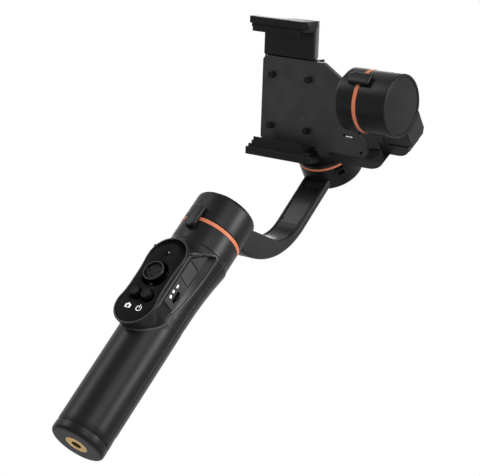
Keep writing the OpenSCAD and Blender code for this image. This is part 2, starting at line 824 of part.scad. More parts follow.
// Housing of the rods and springs behind the plate
module clamp_body() {
    color("#343437") clamp_frame() difference() {
        block(body_x, body_y, body_z);
        for (x = rod_x) translate([x, body_y[0] + 2, rod_z]) rotate([-90, 0, 0]) {
            cylinder(r = spring_r + 0.3, h = body_y[1] - body_y[0] - 6);
            cylinder(r = rod_r + rod_gap, h = 80);
        }
    }
}

module back_pads() {
    color("#161617") clamp_frame() for (p = pad_places()) translate([p[0], p[1], plate_z[1] - 1])
        cylinder(r = 2, h = 1 + phone_back - plate_z[1] - 0.2);
}

// Plan of a jaw in (x, z), inset all round: the corners at its front are rounded
module jaw_plan(x, corner, inset) {
    c = [jaw_corner[0], corner];
    polygon(concat([[x[1] - inset, jaw_z[0]]],
        arc([x[1] - c[1], jaw_z[1] - c[1]], max(c[1] - inset, 0.4), 0, 90, 8),
        arc([x[0] + c[0] + inset, jaw_z[1] - c[0] - inset], c[0], 90, 180, 4),
        [[x[0] + inset, jaw_z[0]]]));
}

// The part of a jaw between two heights of the clamp frame
module jaw_slab(y, x, corner, inset = 0) {
    translate([0, y[1], 0]) rotate([90, 0, 0]) linear_extrude(y[1] - y[0]) jaw_plan(x, corner, inset);
}

module lower_jaw() {
    top = jaw_low - pad_t;
    color("#2e2e31") clamp_frame() {
        jaw_slab([jaw_low - lower_jaw_t, top - step_t], lower_jaw_x, jaw_corner[2]);
        jaw_slab([top - step_t - tiny, top], lower_jaw_x, jaw_corner[2], 1.2);
        block([-36, 3], [jaw_low - lower_jaw_t + 1.2, top - 4], [plate_z[0], jaw_z[0] + tiny]);
        block([-36, 3], [top - 4 - tiny, top], [plate_z[1], jaw_z[0] + tiny]);
    }
}

// Lip of a pad that reaches over the front of the phone
module pad_lip(x, corner, y) { block([x[0] + 2.5, x[1] - corner], y, lip_z); }

module lower_jaw_pad() {
    color("#1a1a1b") clamp_frame() {
        jaw_slab([jaw_low - pad_t, jaw_low], low_pad_x, 2, 0.5);
        pad_lip(low_pad_x, 2, [jaw_low - pad_t, jaw_low + lip_h]);
    }
}

module upper_jaw() {
    color("#2e2e31") clamp_frame() difference() {
        union() {
            jaw_slab([jaw_top + pad_t, jaw_top + upper_jaw_t], upper_jaw_x, jaw_corner[1]);
            translate([0, body_y[1] + 0.3, 0]) rotate([-90, 0, 0])
                linear_extrude(jaw_top + upper_jaw_t - 1.2 - body_y[1] - 0.3) upright_plan();
            block([-36, 0], [jaw_top, jaw_top + upper_jaw_t - 1.2], [plate_z[1] - tiny, jaw_z[0] + tiny]);
        }
        for (x = rod_x) translate([x, 0, rod_z]) rotate([-90, 0, 0]) cylinder(r = rod_r, h = jaw_top);
    }
}

// Plan of the upright behind the plate in (x, -z), with a slanted corner
module upright_plan() {
    polygon([[-38, -plate_z[1]], [0, -plate_z[1]], [0, 9.5], [-3.6, -body_z[0] - 0.5],
        [-38, -body_z[0] - 0.5]]);
}

module upper_jaw_pad() {
    color("#1a1a1b") clamp_frame() {
        jaw_slab([jaw_top, jaw_top + pad_t], upper_jaw_x, jaw_corner[1], 0.9);
        pad_lip(upper_jaw_x, jaw_corner[1], [jaw_top - lip_h, jaw_top + pad_t]);
    }
}

module guide_rods() {
    color("#c9ccd0") clamp_frame() for (x = rod_x) translate([x, rod_low, rod_z]) rotate([-90, 0, 0]) {
        cylinder(r = rod_r, h = jaw_top - rod_low);
        cylinder(r = spring_r, h = 1.5);
    }
}

// Compression springs between the rod heads and the roof of the housing
module jaw_springs() {
    z1 = body_y[1] - 4 - 0.4;
    z0 = rod_low + 1.9;
    turn = (z1 - z0 - 2 * spring_wire) / spring_turns;
    color("#9aa0a6") clamp_frame() for (x = rod_x) translate([x, z0, rod_z]) rotate([-90, 0, 0])
        rotate_extrude() {
            translate([spring_r - spring_wire - 0.15, 0]) square([0.3, z1 - z0]);
            for (i = [0 : spring_turns]) translate([spring_r - spring_wire, spring_wire + i * turn])
                circle(r = spring_wire, $fn = 24);
        }
}

handle_front_shell();
handle_back_shell();
base_cap();
tripod_socket();
control_panel();
status_led();
side_plates();
usb_port();
battery();
main_board();
handle_screws();
neck_cup();
yaw_ring();
yaw_rotor();
yaw_shaft();
joystick_ring();
joystick_cap();
shutter_button();
power_button();
mode_slider();
port_cover();
yaw_cup();
yaw_stator();
yaw_bearings();
yaw_arm();
yaw_arm_cover();
roll_cup();
roll_stator();
roll_bearings();
roll_base();
roll_ring();
roll_rotor();
roll_shaft();
roll_arm();
roll_arm_cover();
extension_bar();
pitch_cup();
pitch_end_cap();
pitch_stator();
pitch_bearings();
extension_knob();
pitch_base();
pitch_ring();
pitch_rotor();
pitch_shaft();
clamp_bracket();
bracket_screws();
clamp_body();
back_pads();
lower_jaw();
lower_jaw_pad();
upper_jaw();
upper_jaw_pad();
guide_rods();
jaw_springs();
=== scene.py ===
# %% [markdown]
# # A three-axis handheld stabilizer
# Three motors turn a phone clamp about three crossed axes. The handle carries the yaw motor, a bent arm
# carries the roll motor, a short beam carries the pitch motor, and the clamp hangs from that one.
# The mechanical model is already built: it is loaded first and never moves. Everything below is either a
# finish for one of its parts, or a finer surface that stands for one of them.

# %% Load the mechanical model
import json

import bmesh
import bpy
import numpy as np
from mathutils import Matrix, Vector

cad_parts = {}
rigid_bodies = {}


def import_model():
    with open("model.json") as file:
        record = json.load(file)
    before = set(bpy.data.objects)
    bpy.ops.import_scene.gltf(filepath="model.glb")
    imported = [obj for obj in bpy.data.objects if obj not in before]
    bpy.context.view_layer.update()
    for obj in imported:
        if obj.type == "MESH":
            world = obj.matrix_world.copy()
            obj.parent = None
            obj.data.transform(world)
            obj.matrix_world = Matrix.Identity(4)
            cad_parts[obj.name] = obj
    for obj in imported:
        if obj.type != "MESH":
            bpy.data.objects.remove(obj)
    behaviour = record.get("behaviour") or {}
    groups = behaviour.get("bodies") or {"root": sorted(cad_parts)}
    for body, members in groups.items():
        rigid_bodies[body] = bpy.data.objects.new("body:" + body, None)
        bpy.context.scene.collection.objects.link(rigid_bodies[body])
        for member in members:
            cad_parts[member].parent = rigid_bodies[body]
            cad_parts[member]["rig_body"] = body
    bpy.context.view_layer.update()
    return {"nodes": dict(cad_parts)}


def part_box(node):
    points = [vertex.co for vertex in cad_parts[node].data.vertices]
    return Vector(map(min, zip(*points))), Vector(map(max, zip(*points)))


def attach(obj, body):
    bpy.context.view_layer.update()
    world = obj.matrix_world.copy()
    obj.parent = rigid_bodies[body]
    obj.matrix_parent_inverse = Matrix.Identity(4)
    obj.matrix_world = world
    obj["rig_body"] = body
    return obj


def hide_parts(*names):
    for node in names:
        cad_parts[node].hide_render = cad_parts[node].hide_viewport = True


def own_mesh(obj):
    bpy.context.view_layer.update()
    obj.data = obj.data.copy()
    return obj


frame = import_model()
MM = 0.001

# %% [markdown]
# ## Where things are
# Each motor has its own axes, so a drum or a lug is drawn once, in millimetres along its motor's axis, and
# then placed. A place is an origin and three directions, and the origins are read from the loaded rings.

# %% Places of the motors and the clamp
ROLL_TILT, CLAMP_LEAN, ROLL_BACK = 8.2, 48.6, 48.3


def middle(node):
    """Centre of a part's box, in millimetres."""
    low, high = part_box(node)
    return np.array((low + high) / 2) / MM


X, Z = 0, 2


def about(axis, degrees):
    """Directions of x, y and z after a turn about x or z: the two others become (cos, sin), (-sin, cos)."""
    c, s = np.cos(np.radians(degrees)), np.sin(np.radians(degrees))
    return np.roll([[1, 0, 0], [0, c, s], [0, -s, c]], (axis, axis), (0, 1))


def unit(v):
    """Each direction in v divided by its own length."""
    return v / np.linalg.norm(v, axis=-1)[..., None]


def within(place, origin=(0, 0, 0), axes=np.eye(3)):
    """A place given inside another: origin times the outer directions, and the directions chained."""
    return np.array(origin, float) @ place[1] + place[0], np.array(axes, float) @ place[1]


RING_Z = middle("yaw_ring")[2]
PITCH_X, CROSS_Z = middle("pitch_ring")[[0, 2]]
BASE = np.zeros(3), np.eye(3)
YAW = within(BASE, (0, 0, RING_Z))
ROLL_FRAME = within(BASE, (0, 0, CROSS_Z), about(X, 90 - ROLL_TILT))
ROLL = within(ROLL_FRAME, (0, 0, -ROLL_BACK), about(X, 180))
PITCH = within(BASE, (PITCH_X, 0, CROSS_Z), [[0, 0, -1], [0, 1, 0], [1, 0, 0]])
CLAMP = within(BASE, (0, 0, CROSS_Z), about(X, 90 + CLAMP_LEAN))
ALONG_X = np.array([[0, 1, 0], [0, 0, 1], [1, 0, 0]])  # an outline in (y, z), thickness towards +x
ALONG_Y = np.array([[1, 0, 0], [0, 0, 1], [0, -1, 0]])  # an outline in (x, z), thickness towards -y
ON_SIDE, ON_FRONT = (BASE[0], ALONG_X), (BASE[0], ALONG_Y)
print("yaw ring at", round(RING_Z, 1), "mm, axes cross at", round(CROSS_Z, 1), "mm")

# %% [markdown]
# ## The camera
# A long lens below the grip looks up along the handle, as when somebody holds it out in front of them.

# %% Camera
EYE, AHEAD, UP = np.array([[0.6940, -0.7723, -0.3225], [-0.59663843, 0.68357653, 0.42232858],
                           [-0.1472, -0.6474, 0.7478]])
LENS, SENSOR = 145.5, 36.0


def linked(name, data):
    """A new object in the scene."""
    made = bpy.data.objects.new(name, data)
    bpy.context.scene.collection.objects.link(made)
    return made


camera = linked("camera", bpy.data.cameras.new("camera"))
camera.data.sensor_fit, camera.data.sensor_width, camera.data.lens = "HORIZONTAL", SENSOR, LENS
camera.data.clip_start, camera.data.clip_end = 0.05, 50
ahead = unit(AHEAD)
top = unit(UP - ahead * (UP @ ahead))
pose = np.eye(4)
pose[:3, :3], pose[:3, 3] = np.stack([np.cross(ahead, top), top, -ahead], 1), EYE
camera.matrix_world = Matrix(pose.tolist())
bpy.context.scene.camera = camera
bpy.context.scene.view_settings.view_transform = "Standard"
print("camera", round(float(np.linalg.norm(EYE)), 2), "m from the base of the handle")

# %% [markdown]
# ## Floor and light
# The floor is plain and lies well under the grip, which is held in the hand. For the camera a share of it is
# light of its own, so that it stays pale from every side. The world is a white room for the camera and for
# reflections, and a softer grey one for plain light, so that black plastic keeps its depth. Four large soft
# lamps draw long highlights down the round motor housings.

# %% Floor, room and lamps
FLOOR_Z, FLOOR_HALF, OWN_LIGHT, PLAIN_LIGHT = -0.5, 6, 0.6, 0.35


def added(tree, *kinds):
    """New shader nodes of these kinds in a node tree."""
    return [tree.nodes.new("ShaderNode" + kind) for kind in kinds]


def mixed(tree, share, first, second, output):
    """A mix of two shaders, first where the share is 0 and second where it is 1, sent to the output."""
    mix, = added(tree, "MixShader")
    for n, source in enumerate((share, first.outputs[0], second.outputs[0])):
        tree.links.new(source, mix.inputs[n])
    tree.links.new(mix.outputs[0], tree.nodes[output].inputs["Surface"])


corners = [(x * FLOOR_HALF, y * FLOOR_HALF, FLOOR_Z) for x, y in ((-1, -1), (1, -1), (1, 1), (-1, 1))]
floor_mesh = bpy.data.meshes.new("floor")
floor_mesh.from_pydata(corners, [], [(0, 1, 2, 3)])
floor = linked("floor", floor_mesh)
floor_paint = bpy.data.materials.new("floor_paint")
floor_paint.use_nodes = True
floor_mesh.materials.append(floor_paint)
tree = floor_paint.node_tree
matt = tree.nodes["Principled BSDF"]
matt.inputs["Base Color"].default_value, matt.inputs["Roughness"].default_value = (0.8, 0.8, 0.8, 1), 0.9
pale, ray, share = added(tree, "Emission", "LightPath", "Math")
share.operation, share.inputs[1].default_value = "MULTIPLY", OWN_LIGHT
tree.links.new(ray.outputs["Is Camera Ray"], share.inputs[0])
mixed(tree, share.outputs[0], matt, pale, "Material Output")

bpy.context.scene.world = world = bpy.data.worlds.new("room")
world.use_nodes = True
tree = world.node_tree
plain = tree.nodes["Background"]
white, ray = added(tree, "Background", "LightPath")
for background, strength in ((plain, PLAIN_LIGHT), (white, 1.0)):
    background.inputs["Color"].default_value = (1, 1, 1, 1)
    background.inputs["Strength"].default_value = strength
seen = ray.outputs["Is Camera Ray"]
for other in ("Is Glossy Ray", "Is Transmission Ray"):
    either, = added(tree, "Math")
    either.operation = "MAXIMUM"
    tree.links.new(seen, either.inputs[0])
    tree.links.new(ray.outputs[other], either.inputs[1])
    seen = either.outputs[0]
mixed(tree, seen, plain, white, "World Output")

MIDDLE_OF_OBJECT = Vector((0, 0, 0.17))
for name, place, size, watts in (
        ("key", (1.5, 0.1, 0.9), 0.5, 30), ("fill", (-1.2, -1.4, 0.6), 0.8, 14),
        ("back", (-0.9, 0.9, 1.2), 0.8, 14), ("front", (1.1, -1.0, 0.6), 0.9, 15)):
    lamp = bpy.data.lights.new(name, "AREA")
    lamp.size, lamp.energy = size, watts
    holder = linked(name, lamp)
    holder.location = place
    holder.rotation_euler = (MIDDLE_OF_OBJECT - Vector(place)).to_track_quat("-Z", "Y").to_euler()
print("floor, room and four lamps")

# %% [markdown]
# ## Finishes
# Nearly everything is moulded plastic. Under a lens it is never one flat black: the mould leaves a fine
# grain, and the gloss varies a little from place to place. Each finish is a Principled shader. A fine
# noise makes its bump, and a coarse one shifts its colour and roughness. Both read Object coordinates,
# which for every part here are metres on the real thing, so a grain of 0.2 mm is 0.2 mm everywhere.

# %% Finish maker
FINISHES, PATCHES = {}, 90  # PATCHES: scale of the coarse noise


def linear(colour):
    """A colour written as it looks on screen, made linear: ((c + 0.055) / 1.055) ** 2.4."""
    return (*(((c + 0.055) / 1.055) ** 2.4 if c > 0.04 else c / 12.92 for c in colour), 1)


def finish(slot, colour, rough, grain, depth, mirror=0.5, metal=0.0, spread=0.15, uneven=0.06,
           stretch=(1, 1, 1)):
    """Principled material: grain is the bump's size and depth its height, in mm; mirror is the strength of
    the mirror image, spread the share by which the colour varies, and uneven what the roughness varies by."""
    material = bpy.data.materials.new(slot)
    material.use_nodes = True
    tree = material.node_tree
    shader = tree.nodes["Principled BSDF"]
    place, mapping, fine, coarse, bump, ramp, gloss = added(
        tree, "TexCoord", "Mapping", "TexNoise", "TexNoise", "Bump", "ValToRGB", "MapRange")
    dark, light = (tuple(c * (1 + s * spread) for c in linear(colour)[:3]) + (1,) for s in (-1, 1))
    for end, at, shade in zip(ramp.color_ramp.elements, (0.3, 0.7), (dark, light)):
        end.position, end.color = at, shade
    for node, socket, value in (
            (mapping, "Scale", stretch), (fine, "Scale", 1 / (grain * MM)), (fine, "Detail", 3),
            (coarse, "Scale", PATCHES), (coarse, "Detail", 4), (bump, "Strength", 0.6),
            (bump, "Distance", depth * MM), (gloss, "To Min", rough - uneven),
            (gloss, "To Max", rough + uneven), (shader, "Specular IOR Level", mirror),
            (shader, "Metallic", metal)):
        node.inputs[socket].default_value = value
    for node, output, target, socket in (
            (place, "Object", mapping, "Vector"), (mapping, "Vector", fine, "Vector"),
            (mapping, "Vector", coarse, "Vector"), (fine, "Fac", bump, "Height"),
            (coarse, "Fac", ramp, "Fac"), (coarse, "Fac", gloss, "Value"), (bump, "Normal", shader, "Normal"),
            (ramp, "Color", shader, "Base Color"), (gloss, "Result", shader, "Roughness")):
        tree.links.new(node.outputs[output], target.inputs[socket])
    FINISHES[slot] = material


# Red and green, which are alike, blue, roughness, grain, depth of the grain, mirror image, metal.
GREYS = {
    "housing": (0.05, 0.052, 0.38, 0.15, 0.002, 0.12),
    "shell": (0.05, 0.052, 0.36, 0.15, 0.002, 0.12),
    "arm": (0.11, 0.114, 0.42, 0.35, 0.03, 0.12),
    "plate": (0.172, 0.176, 0.5, 0.4, 0.05, 0.12),
    # painted highlight: the ridge's grey is far paler than the shell's, standing for the light along its edge
    "trim": (0.16, 0.165, 0.36, 0.15, 0.002, 0.16),
    # painted highlight: the panel's rim and the stick's bead are paler than the black around them, standing
    # for lit edges
    "rim": (0.09, 0.094, 0.35, 0.15, 0.002, 0.12),
    "strip": (0.05, 0.052, 0.32, 0.3, 0.001, 0.26),
    "button_rubber": (0.05, 0.053, 0.4, 0.2, 0.01, 0.04),
    "flap_rubber": (0.2, 0.205, 0.5, 0.4, 0.05, 0.12),
    "pad_rubber": (0.06, 0.065, 0.7, 0.3, 0.04, 0.12),
    "cap": (0.09, 0.095, 0.4, 0.2, 0.01, 0.08),
    "knob": (0.14, 0.145, 0.45, 0.2, 0.01, 0.12),
    "bracket": (0.19, 0.195, 0.42, 0.25, 0.003, 0.12, 0.4),
}
for slot, (grey, blue, *look) in GREYS.items():
    finish(slot, (grey, grey, blue), *look)
finish("brass", (0.78, 0.64, 0.38), 0.3, 0.2, 0.01, metal=1.0)
finish("steel", (0.74, 0.75, 0.77), 0.28, 0.2, 0.01, metal=1.0)
finish("copper", (0.72, 0.43, 0.26), 0.35, 0.35, 0.12, metal=1.0)
finish("led", (0.38, 0.4, 0.42), 0.25, 0.3, 0.01)
finish("battery", (0.18, 0.33, 0.55), 0.3, 1.5, 0.05)
finish("board", (0.03, 0.05, 0.045), 0.4, 0.6, 0.05)
finish("gloss_panel", (0.01, 0.01, 0.012), 0.12, 3, 0.01, 0.01, uneven=0.03)
finish("stick_gloss", (0.02, 0.02, 0.022), 0.16, 0.3, 0.004, 0.02, uneven=0.04)
finish("orange_ring", (0.68, 0.4, 0.29), 0.4, 0.12, 0.02, 0.12, spread=0.1, stretch=(1, 1, 8))
finish("print", (0.93, 0.93, 0.93), 0.5, 0.2, 0.01, spread=0.04)
print(len(FINISHES), "finishes")

# %% [markdown]
# ## Shapes as arrays
# A shape here is a set of points, the faces between them, and the rims that a flat face closes. Three
# makers cover most of the pieces: a profile turned round an axis, an outline given thickness with rounded
# edges, and a section carried along a path. Each works on whole arrays at once.


# %% Grids, corners and shapes
def grid(nu, nv, loop_u=False, loop_v=False):
    """Quads (i, j), (i+1, j), (i+1, j+1), (i, j+1) over a grid of nu by nv points, closed where it loops."""
    i, j = np.meshgrid(np.arange(nu - (not loop_u)), np.arange(nv - (not loop_v)), indexing="ij")
    k, m = (i + 1) % nu, (j + 1) % nv
    return np.stack([i * nv + j, k * nv + j, k * nv + m, i * nv + m], -1).reshape(-1, 4)


def rounded(corners, radius, steps=6, closed=True):
    """A polyline whose corners become arcs that touch both sides: centre = p + (u + v) / |u + v| · r / sin,
    with u and v the directions to the neighbours. radius is one number, or one for each corner."""
    p = np.array(corners, float)
    size = np.broadcast_to(np.array(radius, float), len(p))
    rows = []
    for n, (at, r) in enumerate(zip(p, size)):
        u, v = p[n - 1] - at, p[(n + 1) % len(p)] - at
        lu, lv = np.linalg.norm(u), np.linalg.norm(v)
        u, v = u / lu, v / lv
        half = np.arccos(np.clip(u @ v, -1, 1)) / 2
        if r <= 0 or half > np.pi / 2 - 0.01 or (not closed and n in (0, len(p) - 1)):
            rows.append(at[None])
            continue
        t = min(r / np.tan(half), 0.48 * lu, 0.48 * lv)
        centre = at + (u + v) / np.linalg.norm(u + v) * t / np.cos(half)
        turn = np.pi - 2 * half
        f = np.linspace(0, 1, steps + 1)[:, None]
        a, b = at + u * t - centre, at + v * t - centre
        rows.append(centre + (np.sin((1 - f) * turn) * a + np.sin(f * turn) * b) / np.sin(turn))
    return np.vstack(rows)


def shape(points, faces):
    """Points and faces as one thing. Its fills are groups of rims, each group closed by one flat face."""
    return {"points": np.array(points, float).reshape(-1, 3), "faces": [list(map(int, f)) for f in faces],
            "fills": []}


def joined(*shapes):
    """Several shapes as one."""
    points, faces, fills, start = [], [], [], 0
    for s in shapes:
        points.append(s["points"])
        faces += [[v + start for v in f] for f in s["faces"]]
        fills += [[loop + start for loop in fill] for fill in s["fills"]]
        start += len(s["points"])
    return {"points": np.vstack(points), "faces": faces, "fills": fills}


def moved(s, place):
    """A shape drawn in a place, in the axes round that place."""
    return {**s, "points": s["points"] @ place[1] + place[0]}


# %% Makers of shapes
def around(steps):
    """Angles that share out a full turn."""
    return np.linspace(0, 2 * np.pi, steps, endpoint=False)


def turned(profile, steps=160, lift=None):
    """A closed profile (r, z) turned round z: (r cos a, r sin a, z + lift(r, z, a))."""
    a = around(steps)[:, None]
    r, z = np.array(profile, float).T
    points = np.stack([r * np.cos(a), r * np.sin(a), z + (lift(r, z, a) if lift else 0 * a)], -1)
    return shape(points, grid(steps, len(z), True, True))


def inwards(outline, distance):
    """An outline moved to its left by a distance: p + n d / cos(half the corner), n the corner's normal."""
    ahead = unit(np.roll(outline, -1, 0) - outline)
    side = np.stack([-ahead[:, 1], ahead[:, 0]], 1)
    both = side + np.roll(side, 1, 0)
    return outline + both / np.maximum((both * both).sum(1) / 2, 0.3)[:, None] * distance


def swept(rows):
    """Rings of points one after another along a path, closed round each ring and capped at both ends."""
    rows = np.array(rows, float)
    n, m = rows.shape[:2]
    caps = [np.arange(m)[::-1].tolist(), ((n - 1) * m + np.arange(m)).tolist()]
    whole = shape(rows, grid(n, m, False, True))
    whole["faces"] += caps
    return whole


def slab(outline, low, high, edge_low=0.0, edge_high=0.0, holes=(), steps=4):
    """An outline with thickness from low to high. A quarter round of the edge's radius is carried round
    each rim: inset = e (1 - sin a), height = e (1 - cos a). Rims of holes run the other way round."""
    a = np.linspace(0, np.pi / 2, steps + 1)
    inset = np.hstack([edge_low * (1 - np.sin(a)), edge_high * (1 - np.sin(a[::-1]))])
    height = np.hstack([low + edge_low * (1 - np.cos(a)), high - edge_high * (1 - np.cos(a[::-1]))])
    walls, bottoms, tops, start = [], [], [], 0
    for rim in [outline, *holes]:
        rim = np.array(rim, float)
        area = (rim[:, 0] * np.roll(rim[:, 1], -1) - rim[:, 1] * np.roll(rim[:, 0], -1)).sum()
        if (area > 0) == bool(walls):
            rim = rim[::-1]
        rows = np.stack([np.insert(inwards(rim, i), 2, h, axis=1) for i, h in zip(inset, height)])
        index = start + np.arange(len(rows) * len(rim)).reshape(len(rows), -1)
        start += index.size
        walls.append(shape(rows, grid(len(rows), len(rim), False, True)))
        bottoms.append(index[0])
        tops.append(index[-1])
    return {**joined(*walls), "fills": [bottoms, tops]} if holes else swept(rows)


def bow(centre, radius, start, end, steps):
    """Points centre + r (cos a, sin a) between two angles in degrees."""
    a = np.radians(np.linspace(start, end, steps))
    return np.array(centre) + radius * np.stack([np.cos(a), np.sin(a)], 1)


def circle(centre, radius, steps=48):
    """A whole circle, whose first point isn't repeated."""
    return bow(centre, radius, 0, 360, steps + 1)[:-1]


def mirrored(half, radii, steps=6):
    """An outline from the corners and radii of its right half, and the same with x turned round."""
    return rounded([*half, *((-x, y) for x, y in half[::-1])], [*radii, *radii[::-1]], steps)


def box_outline(x, y, radius):
    """A rectangle with rounded corners."""
    return rounded([(x[0], y[0]), (x[1], y[0]), (x[1], y[1]), (x[0], y[1])], radius)


# %% [markdown]
# ## From arrays to pieces
# One function puts a shape into a mesh: it moves the points to their place, closes the rims, merges
# points that fall together at poles, turns all faces outwards, and shades it smooth with crisp corners.


# %% Makers of pieces
def piece(name, body, slot, made, place=BASE, stands_for=(), crisp=32, bevel=0.0, flat=False, look=None):
    """A visible piece that rides on a body. crisp is the angle in degrees from which an edge stays sharp,
    bevel rounds such edges by a radius, flat joins faces that lie in one plane, and look is the finish
    where it isn't the slot's own."""
    made = moved(made, place)
    mesh = bpy.data.meshes.new(name)
    mesh.from_pydata((made["points"] * MM).tolist(), [], made["faces"])
    bm = bmesh.new()
    bm.from_mesh(mesh)
    bm.verts.ensure_lookup_table()
    for fill in made["fills"]:
        edges = [bm.edges.get((bm.verts[a], bm.verts[b])) for loop in fill
                 for a, b in zip(loop, np.roll(loop, -1))]
        bmesh.ops.triangle_fill(bm, use_beauty=True, edges=edges)
    bmesh.ops.remove_doubles(bm, verts=bm.verts, dist=2e-6)
    if flat:
        bmesh.ops.dissolve_limit(bm, angle_limit=0.01, verts=bm.verts, edges=bm.edges)
    bmesh.ops.recalc_face_normals(bm, faces=bm.faces)
    bm.to_mesh(mesh)
    bm.free()
    mesh.shade_smooth()
    mesh.set_sharp_from_angle(angle=np.radians(crisp))
    mesh.materials.append(FINISHES[look or slot])
    made_piece = linked(name, mesh)
    if bevel:
        edge = made_piece.modifiers.new("edge", "BEVEL")
        edge.width, edge.segments, edge.miter_outer, edge.harden_normals = bevel * MM, 3, "MITER_ARC", True
        edge.limit_method, edge.angle_limit = "ANGLE", np.radians(30)
    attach(made_piece, body)
    if stands_for:
        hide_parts(*([stands_for] if isinstance(stands_for, str) else stands_for))
    print(f"{name}: {len(mesh.polygons)} faces")
    return made_piece


def softened(node, name, slot, bevel):
    """A copy of a machined part whose sharp edges are rounded: its loose triangles are merged first, flat
    faces become whole again, and a bevel runs along what is left."""
    source = frame["nodes"][node]
    points = np.array([vertex.co for vertex in source.data.vertices]) / MM
    made = shape(points, [face.vertices for face in source.data.polygons])
    return piece(name, source["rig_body"], slot, made, BASE, node, bevel=bevel, flat=True)


def paint(slot, *nodes):
    """The finish of parts whose shape is right as loaded."""
    for node in nodes:
        for material_slot in frame["nodes"][node].material_slots:
            material_slot.material = FINISHES[slot]


# %% [markdown]
# ## Motor housings
# Each motor is a drum in two halves with a thin orange ring between them. The long half is a turned cup
# with a rounded end, and the short half is part of what the motor stands on. A turned profile gives both,
# and the small radius at each rim is what catches the light next to the ring.

# %% Long and short halves
MOTOR_R, CUP_R, RING_GAP, WIDE, NARROW = 19.3, 17.7, 0.4, 2.5, 1.7


def long_half(length, edge, ring=WIDE, recess=False):
    """Profile of a cup closed at z = length, with a boss for the bearings inside."""
    start = ring / 2 + RING_GAP
    end = [(17.3, length), (17.3, length - 0.9), (0, length - 0.9)] if recess else [(0, length)]
    corners = [(5.5, 4.2), (7, 4.2), (7, length - 2), (CUP_R, length - 2), (CUP_R, start),
               (MOTOR_R, start), (MOTOR_R, length), *end, (0, length - 2), (5.5, length - 2)]
    radii = [0, 0, 0, 0, 0, 0.45, edge] + ([0.4, 0, 0] if recess else [0]) + [0, 0]
    return turned(rounded(corners, radii, 8))


def short_half(length):
    """Profile of a cup open towards the ring, with the shaft's seat in its floor."""
    corners = [(1.7, -length), (MOTOR_R, -length), (MOTOR_R, -WIDE / 2), (CUP_R, -WIDE / 2),
               (CUP_R, 2 - length), (7, 2 - length), (7, -WIDE / 2), (3, -WIDE / 2), (3, 1 - length),
               (1.7, 1 - length)]
    return turned(rounded(corners, [0, 0, 0.3, 0, 0, 0, 0, 0, 0, 0], 5))


# %% [markdown]
# A lug on the short half reaches across the ring and stops the motor after most of a turn, when it meets
# the forked bump on the other side. It is a thumb-shaped block: round at its root, square at its end and
# hollowed there. So it has three layers, the middle one a U.


# %% Travel stops
LUG_HALF = 4


def lug(low, high):
    """Outline in (y, z) of the rim: half a circle at the low end, small corners at the high end."""
    root = bow((0, low + LUG_HALF), LUG_HALF, 180, 360, 25)[1:-1]
    side = [(LUG_HALF, low + LUG_HALF), (LUG_HALF, high)]
    top = mirrored(side, [0, 1.1])
    notch = mirrored([*side, (2.5, high), (2.5, high - 2.6)], [0, 0.8, 0.2, 0.6], 4)
    whole, forked = np.vstack([root, top]), np.vstack([root, notch])
    foot = box_outline((-3.4, 3.4), (low + 1, -1.65), 0.3)
    layers = joined(slab(whole, 0.45, 1.2, 0.3, 0.0), slab(forked, 1.19, 1.81),
                    slab(whole, 1.8, 3.0, 0.0, 1.15), slab(foot, -1.2, 0.6))
    return moved(layers, ON_SIDE)


def bump():
    """A low block whose upper layer is a fork, open away from the ring."""
    side = [(3.2, 1.9), (3.2, 6.6)]
    block = mirrored(side, [1.2, 0.5], 4)
    fork = mirrored([*side, (1.7, 6.6), (1.7, 3.4)], [1.2, 0.5, 0.3, 0.8], 4)
    return moved(joined(slab(block, -1.2, 0.8), slab(fork, 0.79, 1.6, 0, 0.45)), ON_SIDE)


def on_motor(made, degrees):
    """A lug or bump on the rim at an angle: its x points outwards, its z along the motor's axis."""
    turn = about(Z, degrees)
    return moved(made, (MOTOR_R * turn[0], turn))


YAW_LUG, ROLL_LUG, PITCH_LUG = -92, -145, -89
roll_foot = turned(rounded([(0, -3), (MOTOR_R, -3), (MOTOR_R, -NARROW / 2), (3, -NARROW / 2), (3, -1.5),
                            (0, -1.5)], [0, 0.4, 0.3, 0, 0, 0], 5))
for name, body, place, node, *parts in (
        ("yaw_drum", "yaw_frame", YAW, "yaw_cup", long_half(21.3, 3), on_motor(bump(), YAW_LUG + 180)),
        ("yaw_neck", "handle", YAW, "neck_cup", short_half(12.6), on_motor(lug(-8, 8), YAW_LUG)),
        ("roll_drum", "yaw_frame", ROLL, "roll_cup", long_half(16.7, 2.4, NARROW),
         on_motor(bump(), ROLL_LUG + 180)),
        ("roll_foot", "roll_frame", ROLL, "roll_base", roll_foot, on_motor(lug(-3, 5), ROLL_LUG)),
        ("pitch_drum", "extension", PITCH, "pitch_cup", long_half(21.9, 1.2, recess=True)),
        ("pitch_foot", "clamp", PITCH, "pitch_base", short_half(12.5), on_motor(lug(-8, 8), PITCH_LUG))):
    piece(name, body, "housing", joined(*parts), place, node)
disc_profile = rounded([(0, 21.0), (17.2, 21.0), (17.2, 21.6), (0, 21.6)], [0, 0, 0.25, 0], 4)
piece("pitch_disc", "extension", "cap", turned(disc_profile), PITCH, "pitch_end_cap")

# %% [markdown]
# The rings are lacquered metal. A turned section with a slightly crowned face gives the thin line of
# light round each of them.

# %% Orange rings
for axis, body, place, tall in (("yaw", "handle", YAW, WIDE), ("roll", "roll_frame", ROLL, NARROW),
                                ("pitch", "clamp", PITCH, WIDE)):
    crown = [(15.4, -tall / 2), (19.4, -tall / 2), (19.4, tall / 2), (15.4, tall / 2)]
    piece(axis + "_band", body, "orange_ring", turned(rounded(crown, [0, 0.35, 0.35, 0], 5), 200), place,
          axis + "_ring")

# %% [markdown]
# ## The handle
# The handle is two moulded shells that meet in a seam along both sides. Its outside is one flowing
# surface: a round grip that widens into the neck, and a console that stands out in front of it. Seen from
# the axis it never folds back on itself, so the whole of it is one function, the distance r from the axis
# at an angle and a height. Each solid gives its own distance, and a smooth maximum blends them, which
# draws the fillet between neck and console as a mould has it.


